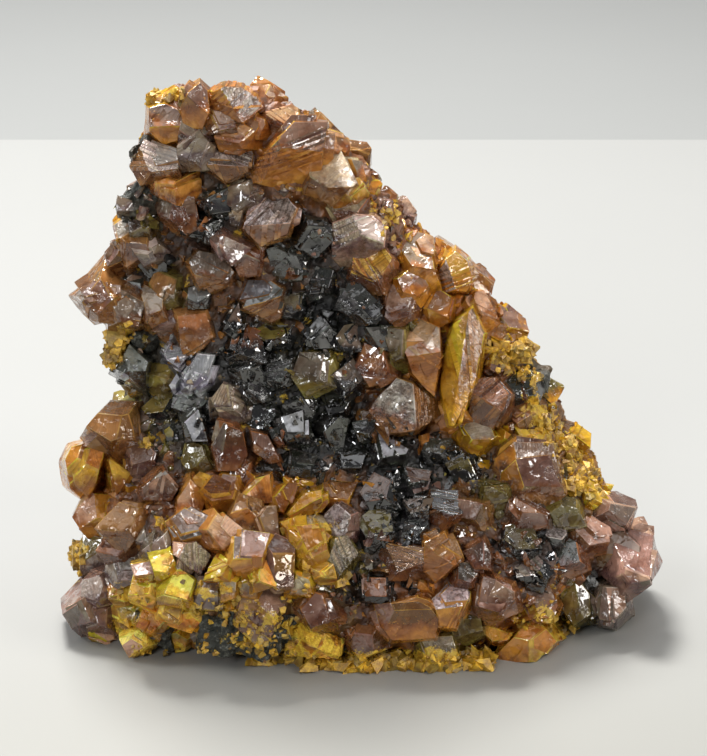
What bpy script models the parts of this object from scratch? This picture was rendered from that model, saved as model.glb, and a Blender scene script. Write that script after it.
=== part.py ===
"""An orpiment specimen: stubby crystals grown together over the front of a dark host rock.

Metres, +Z up. The origin is on the flat of the base, -Y is the crystal-covered front, and the
rock stands as a steep wedge that leans back, with its top over its left side. The sizes below
are in millimetres, and become metres where a mesh is made.

host_rock is the broken rock: a leaning wedge with lumps that show through the crust.
orpiment_crystals is the crust of massive orpiment over its front and sides, with every crystal
and every lump that grew from it joined in one solid.
"""

import math
import random
from itertools import pairwise

import bmesh
import bpy
from mathutils import Matrix, Vector, noise
from mathutils.bvhtree import BVHTree

MM = 0.001
SEED = 7

# The rock, as outlines at rising heights: height, left, right, front, back.
ROCK_LEVELS = (
    (0.0, -33.0, 27.0, -20.0, 16.0),
    (4.0, -38.5, 32.0, -23.5, 20.0),
    (11.0, -41.0, 39.0, -23.0, 22.0),
    (18.0, -41.5, 39.0, -18.0, 22.5),
    (26.0, -40.0, 34.5, -10.5, 22.0),
    (34.0, -36.0, 29.0, -5.0, 21.0),
    (43.0, -34.5, 24.5, -3.5, 19.5),
    (52.0, -37.5, 18.0, -1.5, 18.0),
    (61.0, -35.0, 8.5, 0.0, 16.0),
    (69.0, -34.0, 1.5, 1.0, 14.5),
    (77.0, -32.0, -5.0, 2.0, 13.0),
    (84.0, -29.0, -17.0, 3.0, 9.0),
)
RING_POINTS = 16
SQUARENESS = 2.4
RUGGED = 1.4
RUGGED_PITCH = 8.0
# Forms of the rock's front: across, height, half width, half height, how far out.
FRONT_FORMS = (
    (-25.0, 17.0, 19.0, 9.0, 7.0),
    (22.0, 12.0, 16.0, 9.0, 3.0),
    (2.0, 31.0, 13.0, 7.0, -3.5),
    (-12.0, 52.0, 9.0, 12.0, -1.5),
)
# The breaks across the rock's back: a place on each, and the way it looks.
BACK_BREAKS = (
    ((-6.0, 17.5, 30.0), (-0.14, 0.97, 0.13)),
    ((14.0, 18.0, 20.0), (0.35, 0.9, 0.05)),
    ((-28.0, 16.0, 22.0), (-0.55, 0.82, -0.1)),
    ((-16.0, 13.5, 62.0), (0.12, 0.96, 0.28)),
    ((6.0, 15.0, 48.0), (0.55, 0.78, 0.3)),
    ((0.0, 19.0, 9.0), (0.05, 0.93, -0.36)),
)
LEAST_BACK = 1.5
BACK_RUGGED = 1.6
# Lumps of bare rock that stand out of the crust: across, depth, height, size.
ROCK_LUMPS = (
    (-33.5, 1.5, 68.0, 8.0),
    (-32.5, 2.0, 75.0, 8.0),
    (-34.5, 4.5, 61.5, 8.0),
    (-35.5, 1.5, 46.5, 7.5),
    (-34.0, 1.0, 39.5, 7.0),
    (-16.5, -25.5, 6.6, 10.5),
    (-22.5, -26.0, 5.6, 7.5),
    (-32.0, -20.0, 4.6, 8.0),
    (-9.0, -23.0, 5.0, 8.0),
    (-2.5, -23.0, 4.4, 6.5),
    (28.5, 3.0, 38.0, 7.0),
)

# The crust of massive orpiment, and the height of its lowest edge.
CRUST = 1.7
CRUST_FOOT = 0.5
# The crust's back edge: how far back it runs at the base, how much that changes with height,
# and how far and over what pitch it strays.
CRUST_BACK = (14.0, -0.09)
BACK_STRAY = 2.5
BACK_PITCH = 9.0
GAP = 0.35

# Crystals are set out as seen by this eye: across and up on the plane that faces it through the
# target, where the target itself is at SIGHT.
EYE = Vector((-1.0, -315.6, 166.6))
TARGET = Vector((-1.0, -9.6, 43.0))
SIGHT = (-1.0, 46.4)
ACROSS = Vector((1, 0, 0))
# The furthest back that a crystal beside the rock grows: at the base, and more for the height.
SPINE = (-9.0, 0.17)

# The larger crystals, each by its outline on the sighting plane, the place and height of its
# peak there, and the faces that meet at the peak: the way each looks and its slope.
LARGE = (
    # Summit
    (
        (
            (-34.0, 89.8), (-34.2, 85.6), (-31.5, 83.4), (-28.2, 84.2),
            (-26.8, 87.0), (-28.8, 89.6), (-31.0, 90.6),
        ),
        (-30.5, 86.6, 4.0),
        ((100, 26), (265, 30)),
    ),
    (
        (
            (-25.6, 94.0), (-27.8, 92.3), (-29.0, 90.0), (-28.3, 86.2),
            (-25.0, 86.0), (-23.6, 89.0), (-24.0, 92.5),
        ),
        (-26.5, 90.5, 3.5),
        ((50, 26), (225, 32)),
    ),
    (
        (
            (-23.9, 92.5), (-21.8, 93.5), (-19.0, 93.2), (-16.5, 91.5),
            (-15.3, 89.8), (-18.5, 86.5), (-24.3, 89.5),
        ),
        (-21.0, 90.8, 4.0),
        ((32, 28), (215, 36)),
    ),
    (
        (
            (-4.6, 87.8), (-10.8, 88.0), (-13.5, 85.2), (-19.0, 78.2),
            (-15.0, 77.2), (-10.0, 76.4), (-6.0, 79.6),
        ),
        (-12.5, 83.2, 5.5),
        ((205, 42), (15, 14), (280, 44)),
    ),
    (
        ((-36.2, 81.2), (-34.8, 83.4), (-31.0, 83.4), (-28.8, 82.0), (-29.4, 78.6), (-32.8, 78.2)),
        (-31.5, 79.8, 3.6),
        ((98, 38), (268, 26)),
    ),
    (
        ((-24.6, 83.2), (-17.0, 82.8), (-17.4, 79.0), (-21.5, 77.4), (-25.0, 80.0)),
        (-20.6, 80.4, 4.2),
        ((88, 50), (264, 28)),
    ),
    (
        (
            (-19.4, 70.2), (-18.0, 73.8), (-15.0, 75.6), (-11.6, 75.4),
            (-9.6, 73.6), (-11.0, 69.0), (-16.0, 67.0),
        ),
        (-14.0, 71.0, 5.0),
        ((98, 48), (268, 30)),
    ),
    (
        ((-4.8, 71.6), (-1.0, 73.2), (2.0, 72.6), (4.6, 70.2), (4.4, 67.0), (-2.6, 63.6), (-4.8, 65.6)),
        (0.3, 69.2, 5.0),
        ((190, 22), (35, 34), (275, 42)),
    ),
    (
        ((-32.6, 75.2), (-29.2, 76.6), (-26.0, 75.8), (-25.4, 70.0), (-27.8, 68.7), (-31.6, 71.6)),
        (-28.5, 73.0, 4.0),
        ((340, 12), (170, 38)),
    ),
    # Left edge
    (
        ((-27.9, 65.0), (-26.0, 67.2), (-22.0, 66.6), (-20.1, 64.0), (-21.5, 61.3), (-25.0, 60.2)),
        (-24.0, 62.8, 4.0),
        ((90, 14), (250, 36)),
    ),
    (
        ((-44.8, 59.4), (-41.5, 61.8), (-38.6, 61.2), (-38.4, 57.2), (-42.0, 56.4)),
        (-41.0, 58.8, 3.8),
        ((110, 28), (265, 34)),
    ),
    (
        ((-31.8, 50.6), (-30.8, 52.4), (-26.0, 51.0), (-28.8, 47.2), (-31.4, 49.0)),
        (-29.0, 50.0, 3.8),
        ((110, 10),),
    ),
    (
        ((-26.2, 50.8), (-22.6, 50.4), (-24.0, 46.0), (-27.6, 43.0), (-28.8, 46.5)),
        (-25.8, 47.0, 4.0),
        ((60, 10),),
    ),
    (
        (
            (-45.4, 35.2), (-41.2, 36.4), (-40.2, 35.0), (-42.0, 29.0),
            (-43.4, 27.2), (-46.0, 29.2), (-46.7, 32.4),
        ),
        (-43.9, 32.5, 4.2),
        ((165, 36), (340, 20), (280, 32)),
    ),
    (
        ((-41.0, 33.6), (-39.8, 34.2), (-35.8, 31.4), (-37.6, 28.0), (-39.4, 26.4)),
        (-38.5, 31.0, 4.6),
        ((20, 12),),
    ),
    (
        ((-31.8, 32.2), (-28.4, 28.6), (-30.0, 26.2), (-35.0, 26.4), (-35.4, 29.0)),
        (-31.8, 30.6, 4.0),
        ((275, 12), (120, 40)),
    ),
    # The hollow
    (
        ((-19.4, 57.2), (-17.5, 61.8), (-14.0, 62.2), (-11.7, 60.8), (-12.8, 56.8), (-15.5, 55.5)),
        (-15.4, 58.6, 4.0),
        ((105, 32), (290, 28)),
    ),
    (
        ((-4.6, 57.4), (-2.2, 62.2), (0.4, 61.8), (4.2, 58.0), (3.0, 55.4), (-1.0, 55.2)),
        (-0.6, 58.6, 4.0),
        ((60, 26), (205, 22)),
    ),
    (
        ((-9.6, 53.4), (-6.3, 57.2), (-3.8, 54.0), (-4.6, 51.0), (-7.4, 50.6)),
        (-6.6, 54.0, 3.4),
        ((100, 20), (330, 34)),
    ),
    (
        ((-22.0, 40.0), (-18.3, 38.2), (-17.5, 34.0), (-19.5, 31.0), (-23.2, 31.0), (-24.2, 35.5)),
        (-21.8, 36.0, 4.0),
        ((350, 16), (170, 36)),
    ),
    (
        ((-18.0, 38.6), (-14.5, 37.6), (-11.8, 32.6), (-14.5, 32.2), (-17.4, 34.4)),
        (-15.6, 35.2, 3.6),
        ((50, 28), (240, 24)),
    ),
    # Upper right
    (
        (
            (11.0, 61.8), (13.2, 65.8), (15.3, 67.4), (17.5, 65.6),
            (18.5, 62.0), (17.4, 59.6), (12.0, 59.6),
        ),
        (14.6, 62.8, 4.6),
        ((200, 36), (20, 20)),
    ),
    (
        (
            (18.2, 58.8), (14.6, 55.2), (13.0, 50.5), (12.4, 45.0),
            (13.6, 38.2), (15.6, 38.0), (19.2, 46.0), (20.6, 53.5),
        ),
        (16.2, 49.0, 5.6),
        ((172, 36), (350, 24)),
    ),
    (
        ((6.4, 55.0), (9.0, 56.2), (13.0, 54.6), (13.6, 50.0), (12.0, 43.0), (8.0, 46.8), (6.4, 51.0)),
        (10.4, 50.2, 4.2),
        ((98, 34), (280, 20)),
    ),
    (
        (
            (17.2, 45.6), (18.2, 46.8), (22.0, 46.9), (24.3, 44.0),
            (23.6, 41.0), (21.0, 37.0), (16.9, 38.8),
        ),
        (20.0, 42.8, 4.6),
        ((60, 26), (235, 24)),
    ),
    (
        (
            (0.7, 41.2), (2.6, 43.8), (5.8, 47.2), (8.8, 46.2),
            (12.6, 42.6), (13.2, 40.4), (9.0, 37.2), (4.0, 36.8),
        ),
        (8.8, 41.5, 5.2),
        ((180, 11), (5, 40)),
    ),
    (
        (
            (24.4, 36.8), (31.2, 36.4), (33.0, 28.0), (30.0, 25.8),
            (25.0, 25.4), (20.6, 29.2), (21.4, 33.8),
        ),
        (25.5, 31.0, 5.0),
        ((190, 32), (10, 14), (280, 36)),
    ),
    # The ledge
    (
        ((-27.2, 31.2), (-24.0, 27.6), (-25.0, 24.2), (-29.8, 23.8), (-29.6, 27.0)),
        (-27.2, 28.5, 4.2),
        ((190, 28), (10, 26)),
    ),
    (
        ((-14.0, 31.6), (-17.0, 30.8), (-19.8, 27.8), (-17.8, 25.8), (-13.4, 26.0)),
        (-17.0, 29.0, 4.0),
        ((330, 15), (130, 42)),
    ),
    (
        ((-12.6, 24.6), (-9.2, 28.4), (-5.7, 29.2), (-5.4, 26.2), (-7.2, 24.1), (-10.8, 23.0)),
        (-8.5, 26.0, 4.2),
        ((120, 30), (300, 25)),
    ),
    (
        ((-30.6, 22.9), (-34.2, 19.3), (-33.4, 17.8), (-30.0, 16.8), (-29.6, 20.5)),
        (-31.2, 20.0, 4.0),
        ((200, 26), (10, 30)),
    ),
    (
        ((-30.2, 20.6), (-26.0, 20.7), (-23.2, 18.0), (-25.3, 14.4), (-27.5, 15.4), (-30.4, 17.8)),
        (-28.3, 18.6, 4.6),
        ((0, 12), (150, 38)),
    ),
    (
        (
            (-39.8, 11.6), (-37.0, 13.2), (-34.8, 11.5), (-34.6, 8.5),
            (-36.0, 5.4), (-39.0, 5.0), (-40.8, 8.0),
        ),
        (-37.8, 9.0, 4.6),
        ((200, 22), (20, 24)),
    ),
    (
        ((-33.2, 9.6), (-30.6, 10.1), (-29.4, 8.2), (-30.0, 5.8), (-33.0, 4.4), (-35.0, 5.3)),
        (-32.0, 7.5, 4.2),
        ((100, 25), (290, 28)),
    ),
    # Lower right
    (
        (
            (1.7, 10.8), (4.5, 11.0), (8.2, 11.9), (11.6, 10.3),
            (13.2, 8.0), (12.2, 4.6), (5.0, 4.2), (3.0, 6.5),
        ),
        (5.6, 9.2, 5.0),
        ((80, 12), (195, 40), (275, 34)),
    ),
    (
        ((11.0, 11.0), (14.3, 13.8), (16.8, 12.8), (17.1, 10.0), (15.4, 6.0), (12.4, 6.4)),
        (14.4, 9.6, 4.2),
        ((100, 42), (275, 25)),
    ),
    (
        ((18.2, 6.4), (20.2, 7.4), (24.7, 6.0), (23.4, 4.1), (21.0, 3.6)),
        (21.5, 5.6, 4.0),
        ((275, 10),),
    ),
    (
        ((20.6, 1.4), (23.5, 4.6), (26.5, 7.8), (29.8, 6.6), (31.5, 3.8), (28.4, 0.6), (25.0, 0.2)),
        (27.0, 4.4, 5.0),
        ((100, 30), (230, 24), (330, 36)),
    ),
    (
        (
            (39.6, 22.2), (42.5, 22.2), (45.4, 19.8), (45.2, 16.0),
            (42.0, 14.2), (38.0, 14.4), (36.6, 16.4),
        ),
        (41.2, 18.2, 4.8),
        ((88, 26), (268, 20)),
    ),
    (
        ((34.8, 15.6), (31.7, 13.0), (31.8, 9.5), (34.0, 6.1), (37.4, 8.3), (37.2, 12.0)),
        (34.8, 11.5, 4.2),
        ((190, 26), (10, 26)),
    ),
    (
        ((38.2, 13.6), (42.2, 13.2), (42.4, 9.6), (40.4, 6.9), (38.0, 7.5), (37.2, 10.6)),
        (39.6, 10.6, 4.0),
        ((185, 24), (5, 24)),
    ),
    (
        ((25.3, 13.4), (30.5, 13.8), (32.2, 10.0), (31.0, 7.4), (27.2, 7.2), (25.8, 9.0)),
        (27.8, 10.6, 4.2),
        ((45, 22), (190, 34)),
    ),
    (
        ((9.8, 20.4), (13.8, 22.1), (15.2, 19.5), (16.2, 16.3), (12.0, 13.3), (9.8, 15.5)),
        (12.8, 18.0, 4.2),
        ((60, 24), (230, 28)),
    ),
    (
        ((20.0, 21.4), (21.5, 18.5), (21.4, 15.1), (18.0, 15.3), (16.0, 18.6)),
        (19.8, 18.0, 4.0),
        ((180, 26), (0, 26)),
    ),
)

# A smaller crystal's row: across, up, width, height, turn, the way its main face looks (0 right, 90 up),
# that face's slope from square-on, and how far it is set out towards the eye.
SUMMIT = (
    (-26.2, 85.6, 5.0, 4.6, -30, 60, 30, 1),
    (-19.6, 84.8, 7.6, 4.0, -5, 80, 30, 1),
    (-12.6, 87.5, 5.4, 4.2, 15, 60, 35, 0),
    (-4.8, 78.3, 7.0, 7.2, 20, 95, 42, 2),
    (-2.0, 75.8, 6.0, 3.6, 18, 60, 30, 1),
    (-31.4, 77.8, 6.4, 4.0, -8, 250, 25, 1),
    (-26.1, 82.4, 5.6, 5.2, -20, 75, 30, 3),
    (-23.0, 74.8, 5.2, 5.6, 0, 20, 16, 0),
    (-24.2, 70.4, 5.4, 4.8, 12, 10, 34, 1),
    (-7.4, 69.0, 6.2, 5.6, 20, 250, 20, 1),
    (-1.8, 73.6, 6.2, 3.4, 5, 90, 44, 0),
    (-18.4, 75.6, 5.6, 4.8, 30, 120, 26, 0),
)
LEFT_EDGE = (
    (-36.0, 67.2, 5.6, 4.4, 15, 280, 24, 1),
    (-36.6, 64.0, 7.0, 3.8, -4, 80, 34, 2),
    (-32.6, 66.0, 5.4, 6.6, 10, 300, 22, 0),
    (-21.0, 67.4, 5.2, 3.6, -42, 40, 24, 3),
    (-18.0, 65.6, 5.0, 5.8, 0, 320, 26, 1),
    (-37.6, 57.4, 5.6, 5.8, -10, 20, 26, 1),
    (-35.6, 61.0, 5.2, 4.8, -30, 200, 22, 0),
    (-30.8, 60.2, 5.6, 6.0, 0, 100, 24, 1),
    (-27.0, 55.6, 6.2, 9.2, 5, 0, 18, 0),
    (-34.2, 53.2, 6.4, 4.2, -22, 80, 30, 1),
    (-30.8, 45.8, 5.2, 5.8, 20, 240, 20, 0),
    (-36.0, 48.4, 4.6, 4.2, -25, 90, 30, 0),
    (-31.6, 41.6, 5.0, 4.4, 30, 100, 30, 0),
    (-34.0, 38.8, 4.4, 4.6, 0, 100, 30, 0),
    (-38.9, 39.0, 5.8, 6.8, 3, 180, 14, 1),
    (-35.4, 33.6, 6.2, 6.0, -20, 110, 24, 1),
    (-25.8, 33.0, 4.6, 5.8, 10, 160, 24, 0),
    (-26.6, 38.8, 3.6, 5.6, 12, 30, 16, 2),
    (-23.2, 40.8, 3.8, 7.0, 5, 0, 26, 0),
)
CENTRE = (
    (-18.2, 51.4, 6.8, 6.8, 0, 80, 18, 0),
    (-18.0, 47.2, 5.6, 4.2, 10, 290, 24, 0),
    (-12.8, 53.4, 5.8, 5.0, -8, 85, 34, 0),
    (-2.6, 53.0, 4.8, 4.8, 10, 20, 26, 0),
    (-12.8, 47.0, 4.8, 4.4, 0, 160, 32, 1),
    (-7.0, 47.4, 7.0, 6.6, 10, 110, 18, 1),
    (-2.0, 46.2, 5.4, 4.2, 32, 50, 24, 2),
    (-20.4, 42.0, 4.6, 6.2, 8, 100, 20, 1),
    (-17.2, 45.0, 3.8, 5.2, 20, 60, 32, 0),
    (-9.6, 43.0, 5.8, 5.6, -20, 200, 22, 0),
    (-10.8, 38.2, 4.4, 4.6, 20, 80, 22, 2),
    (-4.6, 37.6, 5.2, 6.0, 0, 300, 20, 0),
    (4.8, 34.4, 6.0, 4.2, -8, 85, 26, 1),
    (2.8, 48.4, 6.4, 5.8, 0, 120, 16, 1),
    (3.6, 52.6, 4.8, 5.2, 10, 20, 24, 0),
    (8.4, 29.8, 5.0, 4.4, -10, 90, 32, 1),
    (3.8, 27.4, 7.0, 5.4, -15, 100, 18, 1),
    (12.6, 34.4, 5.6, 4.6, 10, 80, 26, 0),
    (17.2, 31.8, 6.4, 4.8, -10, 290, 24, 0),
    (-6.6, 61.8, 5.6, 4.4, 10, 100, 34, 0),
    (-3.4, 42.0, 4.8, 4.4, 0, 90, 30, 0),
    (-14.4, 40.8, 4.6, 4.4, 0, 130, 26, 0),
    (-9.0, 31.8, 4.8, 4.2, 0, 90, 26, 0),
    (-1.8, 33.0, 4.8, 4.0, 0, 80, 34, 0),
)
UPPER_RIGHT = (
    (9.2, 64.8, 4.8, 9.6, 4, 85, 34, 1),
    (2.8, 63.2, 9.0, 6.4, -32, 60, 22, 0),
    (8.2, 60.4, 6.2, 4.8, -30, 70, 26, 1),
    (6.6, 57.4, 6.0, 4.8, 10, 100, 28, 1),
    (12.8, 57.6, 5.2, 5.0, 0, 80, 30, 1),
    (6.2, 50.6, 2.8, 8.0, 14, 180, 24, 1),
    (19.2, 57.0, 3.8, 7.0, 22, 20, 36, 1),
    (23.2, 54.8, 6.2, 5.0, -8, 85, 34, 1),
    (22.4, 48.6, 5.2, 5.0, 15, 90, 28, 1),
    (26.4, 44.4, 5.8, 6.2, -8, 100, 20, 1),
    (29.6, 43.4, 3.4, 6.0, -18, 30, 30, 0),
    (15.0, 40.4, 5.4, 7.0, 0, 200, 26, 1),
    (18.5, 37.2, 5.6, 5.4, 10, 90, 26, 1),
    (27.2, 39.6, 6.2, 4.8, 0, 290, 24, 1),
    (27.8, 36.8, 6.0, 3.6, 0, 90, 36, 1),
    (37.4, 26.8, 6.2, 3.8, -34, 60, 34, 1),
    (41.2, 24.2, 6.2, 3.6, -24, 70, 30, 1),
)
LEDGE = (
    (-42.2, 24.4, 5.6, 6.6, 0, 140, 24, 1),
    (-37.0, 22.6, 8.4, 6.0, 8, 100, 26, 2),
    (-42.4, 18.4, 5.6, 5.8, 0, 110, 22, 2),
    (-38.4, 19.0, 6.0, 4.6, -8, 80, 30, 3),
    (-21.4, 27.4, 6.0, 5.2, -5, 92, 34, 2),
    (-4.0, 27.2, 4.6, 4.6, -10, 30, 30, 1),
    (-2.7, 23.2, 5.4, 5.2, 0, 170, 26, 2),
    (-27.4, 22.5, 6.8, 4.6, -5, 95, 26, 3),
    (-22.6, 21.6, 4.6, 7.4, 32, 30, 24, 3),
    (-18.2, 24.2, 5.8, 6.0, 0, 290, 20, 2),
    (-15.0, 23.0, 4.2, 5.6, 10, 30, 24, 2),
    (-17.9, 18.4, 6.2, 6.6, 0, 90, 18, 3),
    (-13.0, 17.0, 4.8, 8.2, 0, 350, 22, 3),
    (-8.4, 18.8, 6.6, 6.4, 20, 110, 20, 3),
    (-8.0, 22.4, 5.6, 3.6, 10, 90, 34, 2),
    (-3.9, 17.4, 5.2, 7.6, -30, 330, 20, 2),
    (-24.6, 12.2, 4.6, 5.2, 10, 260, 22, 2),
    (-37.4, 15.2, 6.4, 4.0, 5, 90, 40, 3),
    (-41.4, 12.6, 4.8, 5.2, 20, 100, 20, 3),
    (-43.0, 8.6, 5.4, 7.4, -6, 200, 20, 2),
    (-33.6, 12.8, 6.0, 5.0, 20, 100, 26, 4),
    (-29.4, 12.8, 5.8, 5.6, -20, 60, 26, 4),
    (-27.6, 8.8, 5.2, 5.0, 30, 280, 24, 3),
    (-32.4, 15.8, 6.6, 3.4, 10, 85, 40, 3),
    (-6.2, 9.2, 7.2, 6.2, -10, 100, 18, 1),
    (-7.2, 4.9, 9.0, 3.6, -28, 70, 30, 1),
)
LOWER_RIGHT = (
    (33.0, 24.6, 7.0, 5.0, 0, 275, 20, 1),
    (26.6, 24.0, 6.8, 4.4, -8, 280, 20, 1),
    (25.2, 20.0, 6.2, 6.0, 20, 100, 24, 0),
    (36.2, 20.6, 6.2, 5.8, 0, 95, 24, 1),
    (43.6, 14.2, 5.8, 4.4, 20, 280, 28, 1),
    (33.6, 17.2, 6.2, 5.2, -10, 120, 20, 0),
    (27.6, 15.4, 6.0, 4.4, -28, 90, 36, 0),
    (21.6, 11.0, 6.2, 6.6, 0, 80, 20, 2),
    (17.4, 14.6, 4.4, 4.4, 0, 60, 30, 1),
    (9.0, 25.0, 5.0, 3.8, -10, 100, 30, 1),
    (9.2, 21.6, 4.8, 4.4, 0, 90, 26, 0),
    (13.2, 25.4, 5.6, 6.0, 20, 60, 32, 1),
    (18.2, 24.4, 4.4, 5.0, 0, 170, 20, 1),
    (21.8, 27.2, 5.2, 4.6, 0, 260, 22, 0),
    (2.8, 21.8, 6.0, 6.8, 0, 90, 20, 0),
    (6.8, 16.8, 8.6, 5.4, 0, 100, 26, 0),
    (3.2, 12.4, 5.6, 4.4, -10, 90, 30, 1),
    (12.2, 3.6, 6.6, 5.4, 20, 100, 26, 2),
    (17.4, 3.8, 5.6, 4.6, 0, 95, 26, 2),
    (1.2, 4.6, 6.0, 5.2, 0, 200, 22, 1),
)
SMALL = SUMMIT + LEFT_EDGE + CENTRE + UPPER_RIGHT + LEDGE + LOWER_RIGHT

# Rounded lumps of massive orpiment along the crust's edges: across, up, width, height, set out.
NODULES = (
    (-32.4, 90.6, 3.4, 2.8, -1),
    (3.8, 73.0, 4.2, 3.6, -1),
    (5.2, 69.6, 3.6, 4.4, -1),
    (-38.9, 52.4, 3.6, 4.4, 0),
    (-39.6, 49.8, 3.2, 3.0, 0),
    (-44.8, 18.0, 3.2, 5.0, 0),
    (26.2, 50.8, 3.6, 3.8, 0),
    (26.8, 48.0, 3.6, 4.0, 0),
    (22.6, 51.6, 4.2, 3.2, 0),
    (29.6, 40.2, 3.4, 3.4, 0),
    (33.2, 34.6, 3.6, 5.2, 0),
    (36.2, 31.0, 4.8, 3.8, 0),
    (33.6, 29.2, 4.6, 3.2, 0),
    (31.8, 5.6, 4.4, 4.4, 1),
    (0.6, 0.9, 5.6, 2.8, 1),
    (6.4, 0.4, 6.0, 2.8, 1),
    (12.0, 0.2, 6.4, 3.0, 1),
    (18.0, 0.8, 6.4, 3.0, 1),
    (-14.4, 2.4, 5.6, 3.2, 0),
    (-19.6, 3.6, 5.6, 3.0, 0),
    (-25.6, 3.6, 5.6, 3.4, 1),
    (-31.4, 3.2, 5.6, 3.4, 1),
    (-7.4, 0.9, 5.0, 2.4, 0),
    (-3.6, 14.4, 3.4, 2.4, 1),
)

# Crystals that fill in between and go round the sides: how many tries, the room each needs in
# times its half size, the smallest and largest width, the most of them and how far back they go.
FILL_TRIES = 900
FILL_SPACE = 0.75
FILL_SIZE = (5.5, 9.5)
FILL_LIMIT = 38
FILL_BACK = 10.0

# How crystals stand: how much larger a row's crystal is at its root than what shows of it, how
# far its axis strays, how far a larger one stands out, and how much its sides close in.
ROW_SCALE = 1.12
LEAN = 0.2
LARGE_OUT = 0.8
TAPER = 9.0
LUMP_FACES = 9
CRUST_SHARE = 0.8
# A crystal whose half sizes multiply to less than this has four sides, and a larger one five.
FEWER_SIDES = 8.0
MERGE = 0.06


class Growth:
    """Where one crystal grows: its middle, the way it points, its side axis and its root's length."""

    def __init__(self, middle, axis, side, root):
        self.middle = middle
        self.axis = axis.normalized()
        self.side = (side - side.dot(self.axis) * self.axis).normalized()
        self.root = root

    def frame(self):
        """The matrix from the crystal's own axes to the rock's."""
        turn = Matrix((self.side, self.axis.cross(self.side), self.axis)).transposed()
        return Matrix.Translation(self.middle) @ turn.to_4x4()


def make_object(name, bm):
    """An object of this bmesh, which is in millimetres, in the scene."""
    bmesh.ops.scale(bm, vec=(MM, MM, MM), verts=bm.verts)
    mesh = bpy.data.meshes.new(name)
    bm.to_mesh(mesh)
    bm.free()
    made = bpy.data.objects.new(name, mesh)
    bpy.context.scene.collection.objects.link(made)
    return made


def weather(point, centre_y):
    """The point moved by the rock's unevenness and, on the front, by its larger forms."""
    place = point / RUGGED_PITCH
    moved = point + Vector((noise.noise(place), noise.noise(place + Vector((9, 9, 9))), 0)) * RUGGED
    if point.y < centre_y:
        for across, height, half_width, half_height, out in FRONT_FORMS:
            off = ((point.x - across) / half_width) ** 2 + ((point.z - height) / half_height) ** 2
            moved.y -= out * math.exp(-off)
    for spot, way in BACK_BREAKS:
        over = (moved - Vector(spot)).dot(Vector(way))
        if over > 0 and point.y > centre_y:
            moved.y = max(moved.y - over / way[1], centre_y + LEAST_BACK)
    if point.y > centre_y + LEAST_BACK:
        moved.y += BACK_RUGGED * noise.noise(place * 1.3)
    return moved


def rock_ring(level):
    """The points of one level outline of the rock."""
    height, left, right, front, back = level
    centre_x, centre_y = (left + right) / 2, (front + back) / 2
    points = []
    for i in range(RING_POINTS):
        turn = 2 * math.pi * i / RING_POINTS
        c, s = math.cos(turn), math.sin(turn)
        x = centre_x + (right - left) / 2 * math.copysign(abs(c) ** (2 / SQUARENESS), c)
        y = centre_y + (back - front) / 2 * math.copysign(abs(s) ** (2 / SQUARENESS), s)
        points.append(weather(Vector((x, y, height)), centre_y))
    return points


def rock_bmesh(grow=0.0):
    """The wedge of rock without its lumps, grown outwards by the given amount."""
    bm = bmesh.new()
    rings = [[bm.verts.new(p) for p in rock_ring(level)] for level in ROCK_LEVELS]
    for low, high in pairwise(rings):
        for i in range(RING_POINTS):
            j = (i + 1) % RING_POINTS
            bm.faces.new((low[i], low[j], high[j], high[i]))
    bm.faces.new(list(reversed(rings[0])))
    bm.faces.new(rings[-1])
    bmesh.ops.triangulate(bm, faces=bm.faces)
    bm.normal_update()
    shifts = [v.normal * grow for v in bm.verts]
    for v, shift in zip(bm.verts, shifts):
        v.co += shift
    return bm


def cut_block(size, planes):
    """A block of this size cut down to the planes, each a way out and a distance along it."""
    bm = bmesh.new()
    bmesh.ops.create_cube(bm, size=size)
    for way, distance in planes:
        cut = bmesh.ops.bisect_plane(
            bm,
            geom=bm.verts[:] + bm.edges[:] + bm.faces[:],
            plane_co=way * distance,
            plane_no=way,
            clear_outer=True,
        )
        rim = [g for g in cut["geom_cut"] if isinstance(g, bmesh.types.BMEdge)]
        if rim:
            bmesh.ops.contextual_create(bm, geom=rim)
    bmesh.ops.remove_doubles(bm, verts=bm.verts, dist=MERGE)
    bmesh.ops.recalc_face_normals(bm, faces=bm.faces)
    return bm


def way_out(azimuth, slope):
    """The unit vector at this azimuth, sloped this far from the crystal's axis, in degrees."""
    a, s = math.radians(azimuth), math.radians(slope)
    return Vector((math.cos(a) * math.sin(s), math.sin(a) * math.sin(s), math.cos(s)))


def sight_line(across, up):
    """The way from the eye through a place on the sighting plane."""
    ahead = (TARGET - EYE).normalized()
    rise = ACROSS.cross(ahead)
    place = TARGET + ACROSS * (across - SIGHT[0]) + rise * (up - SIGHT[1])
    return (place - EYE).normalized()


def meet(tree, across, up):
    """Where the sight line meets the crust, or passes nearest to it, and the crust's way out.

    The other two values are the distance from the eye and how far the line passes outside.
    """
    ahead = sight_line(across, up)
    place, normal, _, distance = tree.ray_cast(EYE, ahead)
    if place is not None:
        return place, normal, distance, 0.0
    best = None
    for step in range(60):
        distance = 270 + 2 * step
        place = EYE + ahead * distance
        if place.y > SPINE[0] + SPINE[1] * place.z:
            break
        _, normal, _, gap = tree.find_nearest(place)
        if best is None or gap < best[3]:
            best = (place, normal, distance, gap)
    return best


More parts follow.
